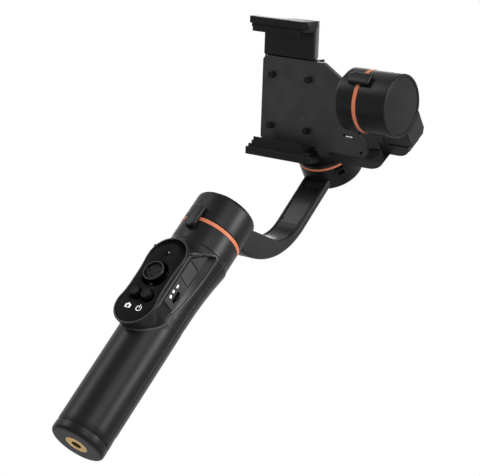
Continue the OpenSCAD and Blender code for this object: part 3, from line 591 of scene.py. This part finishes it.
# %% Outline of the console
PANEL_Y = 22.7
LOBES = ((RING_Z - 31.7, 12.2), (RING_Z - 66.3, 12.9))
WAIST, WAIST_R = 11.2, 100.0


def leg(longest, other):
    """The third side of a triangle with a right angle: sqrt(c² - a²), or 0 where a is the longer one."""
    return np.sqrt(np.maximum(longest ** 2 - other ** 2, 0))


def half_width(z, grow=0.0):
    """Half the width of the peanut outline at a height: sqrt(r² - (z - lobe)²) at each lobe, and between
    them the distance to a large circle on each side, or to the straight line between the lobes."""
    width = np.zeros_like(z)
    for at, r in LOBES:
        width = np.maximum(width, leg(r + grow, z - at))
    (top, r_top), (low, r_low) = LOBES
    line = np.interp(z, (low, top), (r_low + grow, r_top + grow))
    waist = WAIST + grow + WAIST_R - leg(WAIST_R, z - (top + low) / 2)
    return np.where((z < top) & (z > low), np.maximum(width, np.minimum(waist, line)), width)


def peanut(grow):
    """The outline in (x, z), with heights spaced as cos t so that the ends stay round."""
    (top, r_top), (low, r_low) = LOBES
    t = np.linspace(0, np.pi, 90)
    z = (top + r_top + low - r_low) / 2 - (top + r_top - low + r_low + 2 * grow) / 2 * np.cos(t)
    side = np.stack([half_width(z, grow), z], 1)
    return np.vstack([side, (side * (-1, 1))[-2:0:-1]])


# %% Measures of the handle
GRIP_R = 16.8
GRIP = np.array([(-150, GRIP_R), (-52, GRIP_R), (-44, 17.0), (-36, 17.5), (-28, 18.25), (-24, 18.75),
                 (-20, 19.3), (-16.5, 19.8), (-15.2, 19.75), (-14.2, 19.35), (-12, 19.3), (0, 19.3)])
PANEL_T, PLATE_X, PLATE_OUT, PLATE_BACK = 1.6, 14.25, 15.0, np.array([(-56.2, -9.3), (-15.6, -8.2)])
FLAP_Y, FLAP_Z, SLIDER = (-19.3, -9.3), (RING_Z - 41.2, RING_Z - 29.2), (-13.0, RING_Z - 51.4)
RIDGE = np.array([(-22.2, -27.0), (-21.1, -25.8), (-13, -19.7), (-9.84, -16.9), (-6.4, -15.0), (-5.2, -18),
                  (-4.05, -29.1), (-4.5, -42.3), (-5.8, -53.2), (-7.7, -61), (-8.4, -66.3)])
STICK_Y, STICK_Z = -19.6, RING_Z - 44.5
BUTTONS = {"shutter": (-4.4, RING_Z - 59.5, 3.1), "power": (4.0, RING_Z - 59.5, 3.4)}
SCREW_X, SCREW_HEIGHTS, SCREW_SEAT = 11.4, (90.0, 13.2), 8.9


# %% Distance from the axis
def smooth_max(a, b, k):
    """max(a, b) + k h² / 4 with h = 1 - |a - b| / k: the larger of the two, rounded where they cross."""
    h = np.clip(1 - np.abs(a - b) / k, 0, 1)
    return np.maximum(a, b) + h * h * k / 4


def ease(x, a, b):
    """0 below a, 1 above b, and 3t² - 2t³ between."""
    t = np.clip((x - a) / (b - a), 0, 1)
    return t * t * (3 - 2 * t)


def grip_radius(z):
    """Radius of the round grip and neck at a height."""
    return np.interp(z - RING_Z, *GRIP.T)


def outside(angle, z):
    """Distance of the handle's outside from its axis. Angles start at the front and grow towards +x, so a
    point is (r sin, -r cos, z), a flat front at y = -d is at r = d / cos, and a side at x = w at w / sin."""
    s, c = np.abs(np.sin(angle)) + 1e-6, np.cos(angle)
    ahead, facing, right = np.maximum(c, 1e-3), c > 0.2, (np.sin(angle) > 0) & (c > 0)
    grip, rise = grip_radius(z), z - RING_Z
    # The console: the panel's block, and the wider block behind it that ends in the lower lobe.
    panel = -smooth_max(-(PANEL_Y - 0.5) / ahead, -half_width(z, -0.2) / s, 0.8)
    front = np.interp(rise, (-27, -13), (21.9, 6.5))
    (low_lobe, low_r), grow = LOBES[1], np.interp(rise, (-72, -66.3), (0.2, 1.3))
    foot = leg(low_r + grow, np.minimum(z - low_lobe, 0))
    block = np.where((rise > -80) & (rise < -12), -smooth_max(-front / ahead, -foot / s, 3.0), 0)
    r = smooth_max(grip, np.where(c > 0, smooth_max(panel, block, 0.8), 0), 2.6)
    # The flanks: flat pockets for the plates, with a wall behind them that rises to the ridge.
    y = -r * c
    low = np.interp(y, (-21.3, -9, -7), (-60.2, -61.0, -60.6))
    high = np.interp(y, (-21.1, -13, -9.84, -6.4, -5.2), (-26.4, -20.3, -17.5, -15.6, -16.6))
    zone = ease(rise - low, 0, 0.9) * ease(high - rise, 0, 0.9) * (c > 0)
    back = np.interp(rise, *PLATE_BACK.T)
    lip = np.interp(rise, RIDGE[:4:-1, 1], RIDGE[:4:-1, 0])
    slope = (leg(grip, lip) - PLATE_X) / np.maximum(lip - back, 0.3)
    wall = (PLATE_X - slope * back) / np.maximum(s + slope * c, 0.05)
    r = r + zone * (np.minimum(r, np.maximum(PLATE_X / s, wall)) - r)
    # The seat of the panel, with deeper holes for the stick and the buttons.
    x = (PANEL_Y - PANEL_T) * np.tan(np.where(facing, angle, 0))
    seat = (PANEL_Y - PANEL_T - 0.1) / ahead
    r = np.where(facing & (np.abs(x) < half_width(z, 0.1)), np.minimum(r, seat), r)
    for bx, bz, br in [(0, STICK_Z, 8.6)] + [(bx, bz, br + 0.6) for bx, bz, br in BUTTONS.values()]:
        r = np.where(facing & ((x - bx) ** 2 + (z - bz) ** 2 < br ** 2), 15.0 / ahead, r)
    # Behind the right plate: a pocket for the flap and a slot for the switch.
    y = -PLATE_X * c / s
    flap = (y > FLAP_Y[0] - 0.3) & (y < FLAP_Y[1] + 0.3) & (z > FLAP_Z[0] - 0.3) & (z < FLAP_Z[1] + 0.3)
    slot = (np.abs(y - SLIDER[0]) < 1.3) & (np.abs(z - SLIDER[1]) < 3.6)
    for hole, depth in ((flap, 13.6), (slot, 12.2)):
        r = np.where(right & hole, depth / s, r)
    # The back: four round dishes for the screws.
    dish = np.minimum(*(np.hypot(r * s - SCREW_X, z - height) for height in SCREW_HEIGHTS))
    sunk = (1 - ease(dish, 2.2, 3.2)) * (r - SCREW_SEAT / np.maximum(-c, 0.3)).clip(0, 5)
    return np.where(c < 0, r - sunk, r)


# %% [markdown]
# Each shell is a patch of that surface with a wall: the same grid of angles and heights once outside and
# once inside, sewn together along its four borders. Rows lie closer together over the console. Next to
# the seam the surface dips a little, so the two shells meet in a fine V.


# %% Handle shells
SHELL_FOOT, SHELL_TOP = 6, RING_Z - 12.65


def shell(outer, inner):
    """Two grids of points of one size, the second turned over, with strips between their borders."""
    nu, nv = outer.shape[:2]
    quads, count = grid(nu, nv), nu * nv
    index = np.arange(count).reshape(nu, nv)
    rims = [index[0], index[-1][::-1], index[:, 0][::-1], index[:, -1]]
    strips = [np.stack([rim[:-1], rim[1:], rim[1:] + count, rim[:-1] + count], 1) for rim in rims]
    return shape(np.vstack([outer.reshape(-1, 3), inner.reshape(-1, 3)]),
                 np.vstack([quads, quads[:, ::-1] + count, *strips]))


def handle_patch(count, heights, start, end):
    """The shell between two angles: u runs from 0 to 1 between them, z over the heights."""
    z, u = np.meshgrid(heights, np.linspace(0, 1, count))
    seam = np.pi - np.arccos(2.0 / grip_radius(z))
    angle = start(seam) * (1 - u) + end(seam) * u
    r = outside(angle, z)
    to_seam = np.minimum(np.abs(angle - start(seam)), np.abs(angle - end(seam))) * r
    r = r - 0.35 * np.exp(-(to_seam / 0.45) ** 2) - 0.5 * np.exp(-((z - SHELL_FOOT) / 0.5) ** 2)
    inner = np.minimum(r - 0.8, grip_radius(z) - 2)
    return shell(*(np.stack([q * np.sin(angle), -q * np.cos(angle), z], -1) for q in (r, inner)))


rows = np.hstack([np.linspace(SHELL_FOOT, 66, 26), np.linspace(66.45, SHELL_TOP, 162)])
front = handle_patch(181, rows, lambda q: -q, lambda q: q)
piece("front_shell", "handle", "shell", front, BASE, "handle_front_shell", crisp=50)
rows = np.hstack([np.linspace(SHELL_FOOT, 20, 30), np.linspace(21, 82, 20), np.linspace(83, SHELL_TOP, 90)])
back = handle_patch(120, rows, lambda q: q, lambda q: 2 * np.pi - q)
piece("back_shell", "handle", "shell", back, BASE, "handle_back_shell", crisp=50)

# %% [markdown]
# A rim stands round the control panel, and its outer side leans out a little from foot to edge. One raised
# ridge runs from its top right along the edge of the flank, down the back of it, under the lower lobe, and
# up the other side. Both are strips of their own: a strip carried along a path stays crisp where a grid
# would step. Both are painted paler than the shell, a painted highlight for the light that their edges catch.


# %% Rim and ridge
def drafted_rim():
    """The outline carried up a section of (height, growth), whose outer side leans out from foot to edge."""
    foot, top = 9.5, PANEL_Y + 0.1
    section = rounded([(foot, 0.3), (top, 1.45), (top, 0.08), (foot, 0.08)], [0, 1.1, 0.15, 0], 8)
    rings = [np.insert(peanut(growth), 2, height, axis=1) for height, growth in section]
    return shape(np.stack(rings), grid(len(rings), len(rings[0]), True, True))


def ridge(width=0.9, height=0.45):
    """An oval section carried along the ridge. Down the flank x = sqrt(grip² - y²), or the console's side.
    Round the lobe the path is an arc of a radius that shrinks from 14.5 to 13.3."""
    y, rise = rounded(RIDGE, [0, 1, 2, 4, 2.2, 3, 20, 20, 20, 8, 0], 8, closed=False).T
    side = np.interp(y, (-22.3, -20.8), (12.6, 14.35)) * (rise > -32)
    x = np.maximum(leg(grip_radius(rise + RING_Z), y), side)
    a = np.radians(np.linspace(-4, -90, 40))
    reach = np.interp(a, (-np.pi / 2, 0), (13.3, 14.5))
    wide = reach * np.cos(a)
    under = np.stack([wide, -leg(GRIP_R, wide), LOBES[1][0] + reach * np.sin(a)], 1)
    line = np.vstack([np.stack([x, y, rise + RING_Z], 1), under])
    line = np.vstack([line, (line * (-1, 1, 1))[-2::-1]])
    ahead = unit(np.gradient(line, axis=0))
    x, y, z = line.T
    # Out of the surface: straight to the side along the flat flank's top, else away from the axis.
    on_flank = (np.abs(x) < 14.45) & (z > RING_Z - 40)
    out = unit(np.stack([x, np.where(on_flank, 0, y), 0 * x], 1))
    across = unit(np.cross(ahead, out))
    a, count = around(16)[None, :, None], np.arange(len(line))
    taper = np.clip(np.minimum(count, count[::-1]) / 4 + 0.3, 0, 1)[:, None, None]
    oval = width * np.cos(a) * across[:, None] + height * np.sin(a) * out[:, None]
    return swept(line[:, None] + taper * oval)


# painted highlight: the rim and the ridge get paler finishes than the shell, for the light on their edges
piece("panel_rim", "handle", "shell", drafted_rim(), ON_FRONT, crisp=50, look="rim")
piece("ridge", "handle", "shell", ridge(), look="trim")

# %% [markdown]
# The base is a turned cap with a rounded rim, and a brass insert for a tripod stands in its middle.

# %% Base
cap_profile = rounded([(7.05, 0), (GRIP_R, 0), (GRIP_R, 5.8), (14.7, 6), (14.7, 9), (13.1, 9), (13.1, 6.3),
                       (8.5, 6.3), (8.5, 11.4), (7.05, 11.4)], [0.3, 2.2, 0.3, 0, 0, 0, 0, 0, 0, 0], 6)
piece("base_shell", "handle", "shell", turned(cap_profile), BASE, "base_cap")

# %% [markdown]
# ## The control panel
# The panel is a gloss-black plate in the shape of a peanut, with round holes for the stick and the two
# buttons. An outline given thickness makes it, and a quarter-round edge picks up the light at its rim.

# %% Panel and light
LIGHT_Z = RING_Z - 29


def on_panel(x, z, y=0.0):
    """A place on the panel: its z is out of the panel."""
    return np.array([x, y, z]), ALONG_Y


holes = [circle((0, STICK_Z), 8.0, 96), *(circle((bx, bz), br + 0.3, 64) for bx, bz, br in BUTTONS.values()),
         circle((0, LIGHT_Z), 0.72, 24)]
panel = slab(peanut(-0.06), PANEL_Y - PANEL_T, PANEL_Y, 0, 0.35, holes)
piece("face_plate", "handle", "gloss_panel", panel, ON_FRONT, "control_panel")
light = rounded([(0, 19.7), (0.65, 19.7), (0.65, PANEL_Y + 0.1), (0, PANEL_Y + 0.15)], [0, 0, 0.25, 0], 4)
piece("light_pipe", "handle", "led", turned(light, 24), on_panel(0, LIGHT_Z), "status_led")

# %% [markdown]
# The stick's cap is dished for the thumb, with four small ridges on the dish: a turned profile whose height
# also depends on the angle. The bead round it is a ring of its own, in the paler finish of the panel's rim:
# a painted highlight round the cap's edge.


# %% Stick and buttons
def thumb_ridges(r, h, a, high=0.16, at=3.4):
    """Lift of the dish: high · exp(-(r - at)² / 0.2) · exp(-(offset / 0.45)²) about each quarter turn."""
    offset = (np.mod(a + np.pi / 4, np.pi / 2) - np.pi / 4) * at
    return high * np.exp(-(r - at) ** 2 / 0.2) * np.exp(-(offset / 0.45) ** 2) * (h > 4.8)


dish_r = np.linspace(0, 4.5, 50)
side = rounded([(4.6, 5.12), (5.5, 6.15), (6.2, 6.25), (6.8, 5.3), (6.1, 4.0), (1.6, 3.9), (1.6, -1.4),
                (0, -1.4)], [0, 0.7, 0.6, 0.7, 0.5, 0.3, 0, 0], 8, closed=False)
cap_profile = np.vstack([np.stack([dish_r, 5.0 + 0.006 * dish_r ** 2], 1), side])
axle = turned([(0, -4.8), (0.7, -4.8), (0.7, 4.8), (0, 4.8)], 24)
axle = moved(axle, (BASE[0], about(X, -90)))
stick = joined(turned(cap_profile, 144, thumb_ridges), axle)
piece("stick_cap", "stick", "stick_gloss", stick, on_panel(0, STICK_Z, STICK_Y), "joystick_cap")
bead = turned(rounded([(5.6, 6.0), (5.75, 6.35), (6.35, 6.35), (6.85, 5.5), (6.3, 5.2)],
                      [0.1, 0.3, 0.3, 0.2, 0.1], 5), 120)
# painted highlight: the bead is paler than the dark cap, so the cap's edge reads as lit
piece("stick_rim", "stick", "stick_gloss", bead, on_panel(0, STICK_Z, STICK_Y), look="rim")
KEY_FOOT, KEY_PROUD = 18, 2.4
tall = PANEL_Y + KEY_PROUD - KEY_FOOT
for name, (bx, bz, br) in BUTTONS.items():
    key = turned(rounded([(0, 0), (br, 0), (br, tall), (br - 1.3, tall), (br - 1.6, tall - 0.15),
                          (0, tall - 0.2)], [0, 0.2, 0.6, 0.3, 0.3, 0], 8), 72)
    piece(name + "_key", name, "button_rubber", key, on_panel(bx, bz, -KEY_FOOT), name + "_button")

# %% [markdown]
# The signs under the buttons are printed: a camera under the shutter, a ring and bar under the power
# button. Each is a thin plate that stands 0.04 mm proud.

# %% Printed signs
INK = PANEL_Y - 0.03, PANEL_Y + 0.04
SHUTTER_SIGN, POWER_SIGN = (-4.2, RING_Z - 68.9), (3.9, RING_Z - 69.0)
outline = mirrored([(2.0, -1.45), (2.0, 1.1), (0.95, 1.1), (0.65, 1.85)], [0.35, 0.35, 0.1, 0.15], 4)
camera_sign = slab(outline + SHUTTER_SIGN, *INK, holes=[circle((-4.2, RING_Z - 69.1), 0.95, 32)])
ring = np.vstack([bow(POWER_SIGN, 1.95, 122, 418, 60), bow(POWER_SIGN, 1.5, 418, 122, 60)])
bar = box_outline((3.65, 4.15), (RING_Z - 68.8, RING_Z - 66.4), 0.12)
power_sign = joined(slab(ring, *INK), slab(bar, *INK))
piece("printed_signs", "handle", "print", joined(camera_sign, power_sign), ON_FRONT)

# %% [markdown]
# ## The flanks
# A textured plate lies in a pocket on each side of the console. The right one has a rubber flap over the
# charging socket, a ridged switch in a slot, and three white marks beside it.

# %% Flank plates
edge_of_plate = rounded(np.array([(-20.0, -28.8), (-8.1, -16.8), (-9.2, -56.2), (-10.9, -58.9),
                                  (-20.0, -59.1)]) + (0, RING_Z), [1.2, 0.8, 1, 1, 0.8], 5)
flap_hole = box_outline((FLAP_Y[0] - 0.1, FLAP_Y[1] + 0.2), (FLAP_Z[0] - 0.15, FLAP_Z[1] + 0.2), 0.6)
slot = box_outline((SLIDER[0] - 1.4, SLIDER[0] + 1.4), (SLIDER[1] - 3.7, SLIDER[1] + 3.7), 0.8)
right_plate = slab(edge_of_plate, PLATE_X, PLATE_OUT, 0, 0.25, [flap_hole, slot])
left_plate = slab(edge_of_plate, -PLATE_OUT, -PLATE_X, 0.25, 0)
piece("flank_plates", "handle", "plate", joined(right_plate, left_plate), ON_SIDE, "side_plates")
leaf = slab(box_outline((FLAP_Y[0], FLAP_Y[1] - 0.4), (FLAP_Z[0] + 0.1, FLAP_Z[1] - 0.4), 0.7),
            14.3, 15.08, 0, 0.25)
pin_from, pin_to = FLAP_Y[0] + 0.1, FLAP_Y[1] - 0.1
pin = moved(turned([(0, pin_from), (0.5, pin_from), (0.5, pin_to), (0, pin_to)], 24),
            (np.array([0, FLAP_Z[0] + 0.6, 14.75]), np.array([[0, 0, 1], [0, 1, 0], [1, 0, 0]])))
piece("port_flap", "flap", "flap_rubber", joined(leaf, pin), ON_SIDE, "port_cover")
marks = (box_outline((-17.9, -16.5), (RING_Z - 47.5, RING_Z - 45.4), 0.5),
         circle((-17.8, RING_Z - 50.6), 0.95, 24), circle((-17.5, RING_Z - 54.0), 1.0, 24))
marks = joined(*(slab(mark, PLATE_OUT - 0.02, PLATE_OUT + 0.04) for mark in marks))
piece("white_marks", "handle", "print", marks, ON_SIDE)

# %% [markdown]
# ## The yaw arm
# A cast arm starts on the flank of the yaw motor, bends upwards and ends under the roll motor. Its outer
# and inner faces follow two different paths, so it is made from pairs of points: at each station a
# rounded section is stretched between the inner and the outer path. A shallow channel for a cover strip
# runs along the inner face. The first and last stations are pushed onto the round housings.

# %% Paths of the arm
ARM_W, COVER_W, TOP = 19.0, 14.4, 92.6
IN_MIDDLE, OUT_MIDDLE, OUT_R = (27.8, 56.5), (9.9, 56.5), 49.3
inner = np.vstack([np.linspace((14.0, 21.2), (38.4, 32.75), 14)[:-1], bow(IN_MIDDLE, 26, -66, -6, 34),
                   np.linspace((53.8, 56.5), (53.8, TOP), 16)])
outer = np.vstack([np.linspace((14.0, 9.8), (20.99, 8.46), 5)[:-1], bow(OUT_MIDDLE, OUT_R, -77, -58, 10)[:-1],
                   bow(OUT_MIDDLE, OUT_R, -58, 0, 34), np.linspace((59.2, 58.0), (59.2, TOP), 16)])


def stretched(inner, outer, section):
    """Rings of (x, y, z): each section point has x, a depth d and a side. From the inner side it lies at
    inner + n d, from the outer side at outer - n d, with n the direction from inner to outer."""
    x, depth, side = np.array(section, float).T
    n = unit(outer - inner)[:, None] * depth[:, None]
    place = np.where(side[:, None] > 0, outer[:, None] - n, inner[:, None] + n)
    return np.concatenate([np.broadcast_to(x[:, None], place.shape[:2] + (1,)), place], -1)


def edge_arc(x, radius, side, turn, steps=6):
    """Quarter round at an edge of the section, as (x, depth, side)."""
    a = np.linspace(0, np.pi / 2, steps)[::turn]
    across = np.sign(x) * (abs(x) - radius * (1 - np.cos(a)))
    return np.stack([across, radius * (1 - np.sin(a)), side + 0 * a], 1)


IN_YAW_DRUM, IN_ROLL_DRUM = 18.4, 18.6
half, lane = ARM_W / 2, COVER_W / 2 + 0.4
section = np.vstack([[(-lane, 1.2, 0), (lane, 1.2, 0), (lane, 0.2, 0), (lane + 0.2, 0.0, 0)],
                     edge_arc(half, 1.1, 0, -1), edge_arc(half, 2.2, 1, 1), edge_arc(-half, 2.2, 1, -1),
                     edge_arc(-half, 1.1, 0, 1), [(-lane - 0.2, 0.0, 0), (-lane, 0.2, 0)]])
rings = stretched(inner, outer, section)
rings[0, :, 1] = leg(IN_YAW_DRUM, rings[0, :, 0])
for near in (1, 2, 3):
    rings[near, :, 1] = np.maximum(rings[near, :, 1], rings[near - 1, :, 1] + 0.1)
tilt = np.radians(ROLL_TILT)
drum_middle = CROSS_Z - RING_Z - rings[-1, :, 1] * np.tan(tilt)
rings[-1, :, 2] = drum_middle - leg(IN_ROLL_DRUM, rings[-1, :, 0]) / np.cos(tilt)
piece("arm_casting", "yaw_frame", "arm", swept(rings), YAW, "yaw_arm", crisp=40)

# %% [markdown]
# The cover strip lies in the channel, a little below the rims beside it, and is glossier than the drums. Its
# edges have a small notch each for a clip, and a short slit lies near its upper end, so its face is a height
# over (length, width): depth + 0.6 inside a notch.

# %% Cover strip
cover_in, cover_out = inner[3:-3], outer[3:-3]
length = np.hstack([[0], np.cumsum(np.linalg.norm(np.diff(cover_in, axis=0), axis=1))])
stations = np.linspace(0, length[-1], 260)
fine_in, fine_out = (np.stack([np.interp(stations, length, path[:, k]) for k in (0, 1)], 1)
                     for path in (cover_in, cover_out))
across = np.linspace(-COVER_W / 2, COVER_W / 2, 49)
level, width_at = np.meshgrid(fine_in[:, 1], across, indexing="ij")
pressed = sum(0.6 * ease(tall - np.abs(level - at), 0, 0.3) * ease(wide - np.abs(width_at - x0), 0, 0.3)
              for at, x0, tall, wide in ((59, 7.2, 1.0, 1.3), (59, -7.2, 1.0, 1.3), (88.5, 5.2, 0.6, 2.2)))
edge = 0.25 * ease(np.abs(width_at), COVER_W / 2 - 0.35, COVER_W / 2)
n = unit(fine_out - fine_in)
face = fine_in[:, None] + n[:, None] * (0.3 + pressed + edge)[..., None]
under = fine_in[:, None] + n[:, None] * 0.95 + 0 * face
strip = shell(*(np.concatenate([width_at[..., None], q], -1) for q in (face, under)))
piece("arm_cover", "yaw_frame", "housing", strip, YAW, "yaw_arm_cover", crisp=40, look="strip")

# %% [markdown]
# ## Roll arm and extension
# These are machined blocks with a slide between them, and the mechanical model has their true shape,
# with the T-slot and the saddles. A copy of each gets rounded edges.

# %% Roll arm, extension and their cover
softened("roll_arm", "beam_block", "arm", 0.7)
softened("extension_bar", "slide_block", "arm", 0.6)
piece("beam_cover", "roll_frame", "housing",
      slab(box_outline((24.15, 39.85), (-8.85, 8.85), 1.2), 44.25, 45.35, 0, 0.3),
      within(ROLL_FRAME, axes=np.diag([1, 1, -1])), "roll_arm_cover")

# %% [markdown]
# A thumb disc locks the extension. It lies flush in the front face of the beam. Its ribs run slantwise: a
# turned profile once more, whose height follows a cosine across them.


# %% Locking disc
DISC_R, DISC_TOP, DISC_FOOT, RIB_PITCH, RIB_SLANT = 4.5, -0.58, -2.1, 1.5, np.radians(-28)


def ribs(r, level, a):
    """Lift 0.22 (1 + cos(2π d / pitch)), with d = r sin(a - slant), fading out at the rim of the disc."""
    d = r * np.sin(a - RIB_SLANT)
    rise = 0.22 * (1 + np.cos(2 * np.pi * d / RIB_PITCH))
    return rise * ease(DISC_R - 0.5 - r, 0, 0.4) * (level > DISC_TOP - 0.1)


DISC = within(ROLL_FRAME, (41.3, -5.4, -38.5))
face = np.linspace((0, DISC_TOP), (DISC_R - 0.15, DISC_TOP), 60)
disc = turned([*face, (DISC_R, DISC_TOP - 0.15), (DISC_R, DISC_FOOT), (0, DISC_FOOT)], 180, ribs)
stem = turned([(0, -4.2), (1.6, -4.2), (1.6, -1.6), (0, -1.6)], 32)
piece("lock_disc", "knob", "knob", joined(disc, stem), DISC, "extension_knob")

# %% [markdown]
# ## The clamp
# A pressed metal plate stands behind the phone, with a cheek that is screwed to the pitch motor. The two
# jaws are moulded, with rounded front corners. Each holds a rubber pad, set in all round, with a lip that
# reaches over the front of the phone. The upper jaw slides on two rods, pulled down by springs.

# %% Plate and housing
softened("clamp_bracket", "pressed_plate", "bracket", 0.35)
softened("clamp_body", "spring_housing", "housing", 1.2)

# %% Jaws and pads
# Each jaw and the lower pad: left, right and the radius of its right front corner.
UPPER, LOWER, LOW_PAD, JAW_Z = (-40.8, 3.2, 5.6), (-40.8, 8.6, 3.4), (-37.1, 4.9, 2.0), (-7.0, 5.5)
JAW_TOP, JAW_LOW, PAD, LIP = 36.0, -34.9, 2.4, 2.5


def jaw_plan(jaw, inset=0.0):
    """Plan of a jaw in (x, z), inset all round."""
    (left, right, radius), (back, front) = jaw, JAW_Z
    return rounded([(left + inset, back), (right - inset, back), (right - inset, front - inset),
                    (left + inset, front - inset)], [0.3, 0.3, radius - inset, 1.5], 10)


def layer(plan, low, high, edge_low=0.0, edge_high=0.0):
    """A plan with thickness along the clamp's y, from low to high."""
    return slab(plan, -high, -low, edge_high, edge_low)


def lip(jaw, low, high):
    """The lip of a pad, a bar with soft edges in front of the phone."""
    return layer(box_outline((jaw[0] + 2.5, jaw[1] - jaw[2]), (3.95, 5.0), 0.35), low, high, 0.35, 0.35)


upright = rounded([(-38, -7.5), (-38, -18), (-3.6, -18), (0, -9.5), (0, -7.5)], [0.2, 0.8, 0.8, 0.8, 0.2])
upper = joined(layer(jaw_plan(UPPER), JAW_TOP + PAD, 42.8, 0.4, 0.5), layer(upright, 18.3, 41.6, 0.5, 0.5),
               layer(box_outline((-36, 0), (-8, -6.5), 0.3), JAW_TOP, 41.6, 0.3, 0.5))
lower = joined(layer(jaw_plan(LOWER), -44.2, -39.3, 0.5, 0.5),
               layer(jaw_plan(LOWER, 1.2), -39.5, JAW_LOW - PAD, 0, 0.4),
               layer(box_outline((-36, 3), (-10.45, -6.5), 0.3), -43.0, -41.3, 0.3, 0.2),
               layer(box_outline((-36, 3), (-7.45, -6.5), 0.3), -41.4, JAW_LOW - PAD, 0.2, 0.3))
jaw_frame = (CLAMP[0], ALONG_Y @ CLAMP[1])
piece("upper_jaw_shell", "top_jaw", "housing", upper, jaw_frame, "upper_jaw")
piece("lower_jaw_shell", "clamp", "housing", lower, jaw_frame, "lower_jaw")
upper_pad = joined(layer(jaw_plan(UPPER, 0.9), JAW_TOP, JAW_TOP + PAD, 0.5, 0.05),
                   lip(UPPER, JAW_TOP - LIP, JAW_TOP + 1))
lower_pad = joined(layer(jaw_plan(LOW_PAD, 0.5), JAW_LOW - PAD, JAW_LOW, 0.05, 0.5),
                   lip(LOW_PAD, JAW_LOW - 1, JAW_LOW + LIP))
piece("upper_pad", "top_jaw", "pad_rubber", upper_pad, jaw_frame, "upper_jaw_pad")
piece("lower_pad", "clamp", "pad_rubber", lower_pad, jaw_frame, "lower_jaw_pad")

# %% [markdown]
# ## Springs
# Each spring is round wire on a helix, closed up at both ends. The centre line is (R cos t, R sin t, climb),
# and the wire's section turns with it. When the jaw is pulled up, the heads of the rods push the springs
# against the roof of the housing; here each spring is drawn once, at rest, from its foot to that roof.


# %% Jaw springs
def helix(radius, wire, turns, low, high, steps=24):
    """A coil of wire from low to high. Its first and last 6 % climb only 2.1 % each, so the ends lie flat."""
    t = np.linspace(0, 2 * np.pi * turns, int(steps * turns))
    share = np.interp(t / t[-1], (0, 0.06, 0.94, 1), (0, 0.021, 0.979, 1))
    climb = low + wire + (high - low - 2 * wire) * share
    line = np.stack([radius * np.cos(t), radius * np.sin(t), climb], 1)
    ahead = unit(np.gradient(line, axis=0))
    out = np.stack([np.cos(t), np.sin(t), 0 * t], 1)
    up = np.cross(ahead, out)
    a = around(10)[None, :, None]
    return swept(line[:, None] + wire * (np.cos(a) * out[:, None] + np.sin(a) * up[:, None]))


FOOT, ROOF, JAW_TRAVEL = -10.1, 13.6, 16.0
spring = helix(2.75, 0.44, 9, FOOT, ROOF)
springs = joined(*(moved(spring, ((x, 0, -14.5), about(X, -90))) for x in (-32, -6.5)))
coils = piece("coil_springs", "clamp", "steel", springs, CLAMP, "jaw_springs", crisp=60)
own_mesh(coils)

# %% [markdown]
# ## Parts that keep their shape
# Motors, bearings, shafts, the battery and the board are right as they come. They only need finishes.

# %% Finishes of the inner parts
paint("brass", "tripod_socket")
paint("steel", "usb_port", "handle_screws", "bracket_screws", "guide_rods")
for axis in ("yaw", "roll", "pitch"):
    paint("steel", axis + "_rotor", axis + "_shaft", axis + "_bearings")
    paint("copper", axis + "_stator")
paint("battery", "battery")
paint("board", "main_board")
paint("stick_gloss", "joystick_ring")
paint("button_rubber", "mode_slider")
paint("pad_rubber", "back_pads")
dressed = {m.name for o in frame["nodes"].values() if not o.hide_render for m in o.data.materials}
print("finishes on the loaded parts:", sorted(dressed))
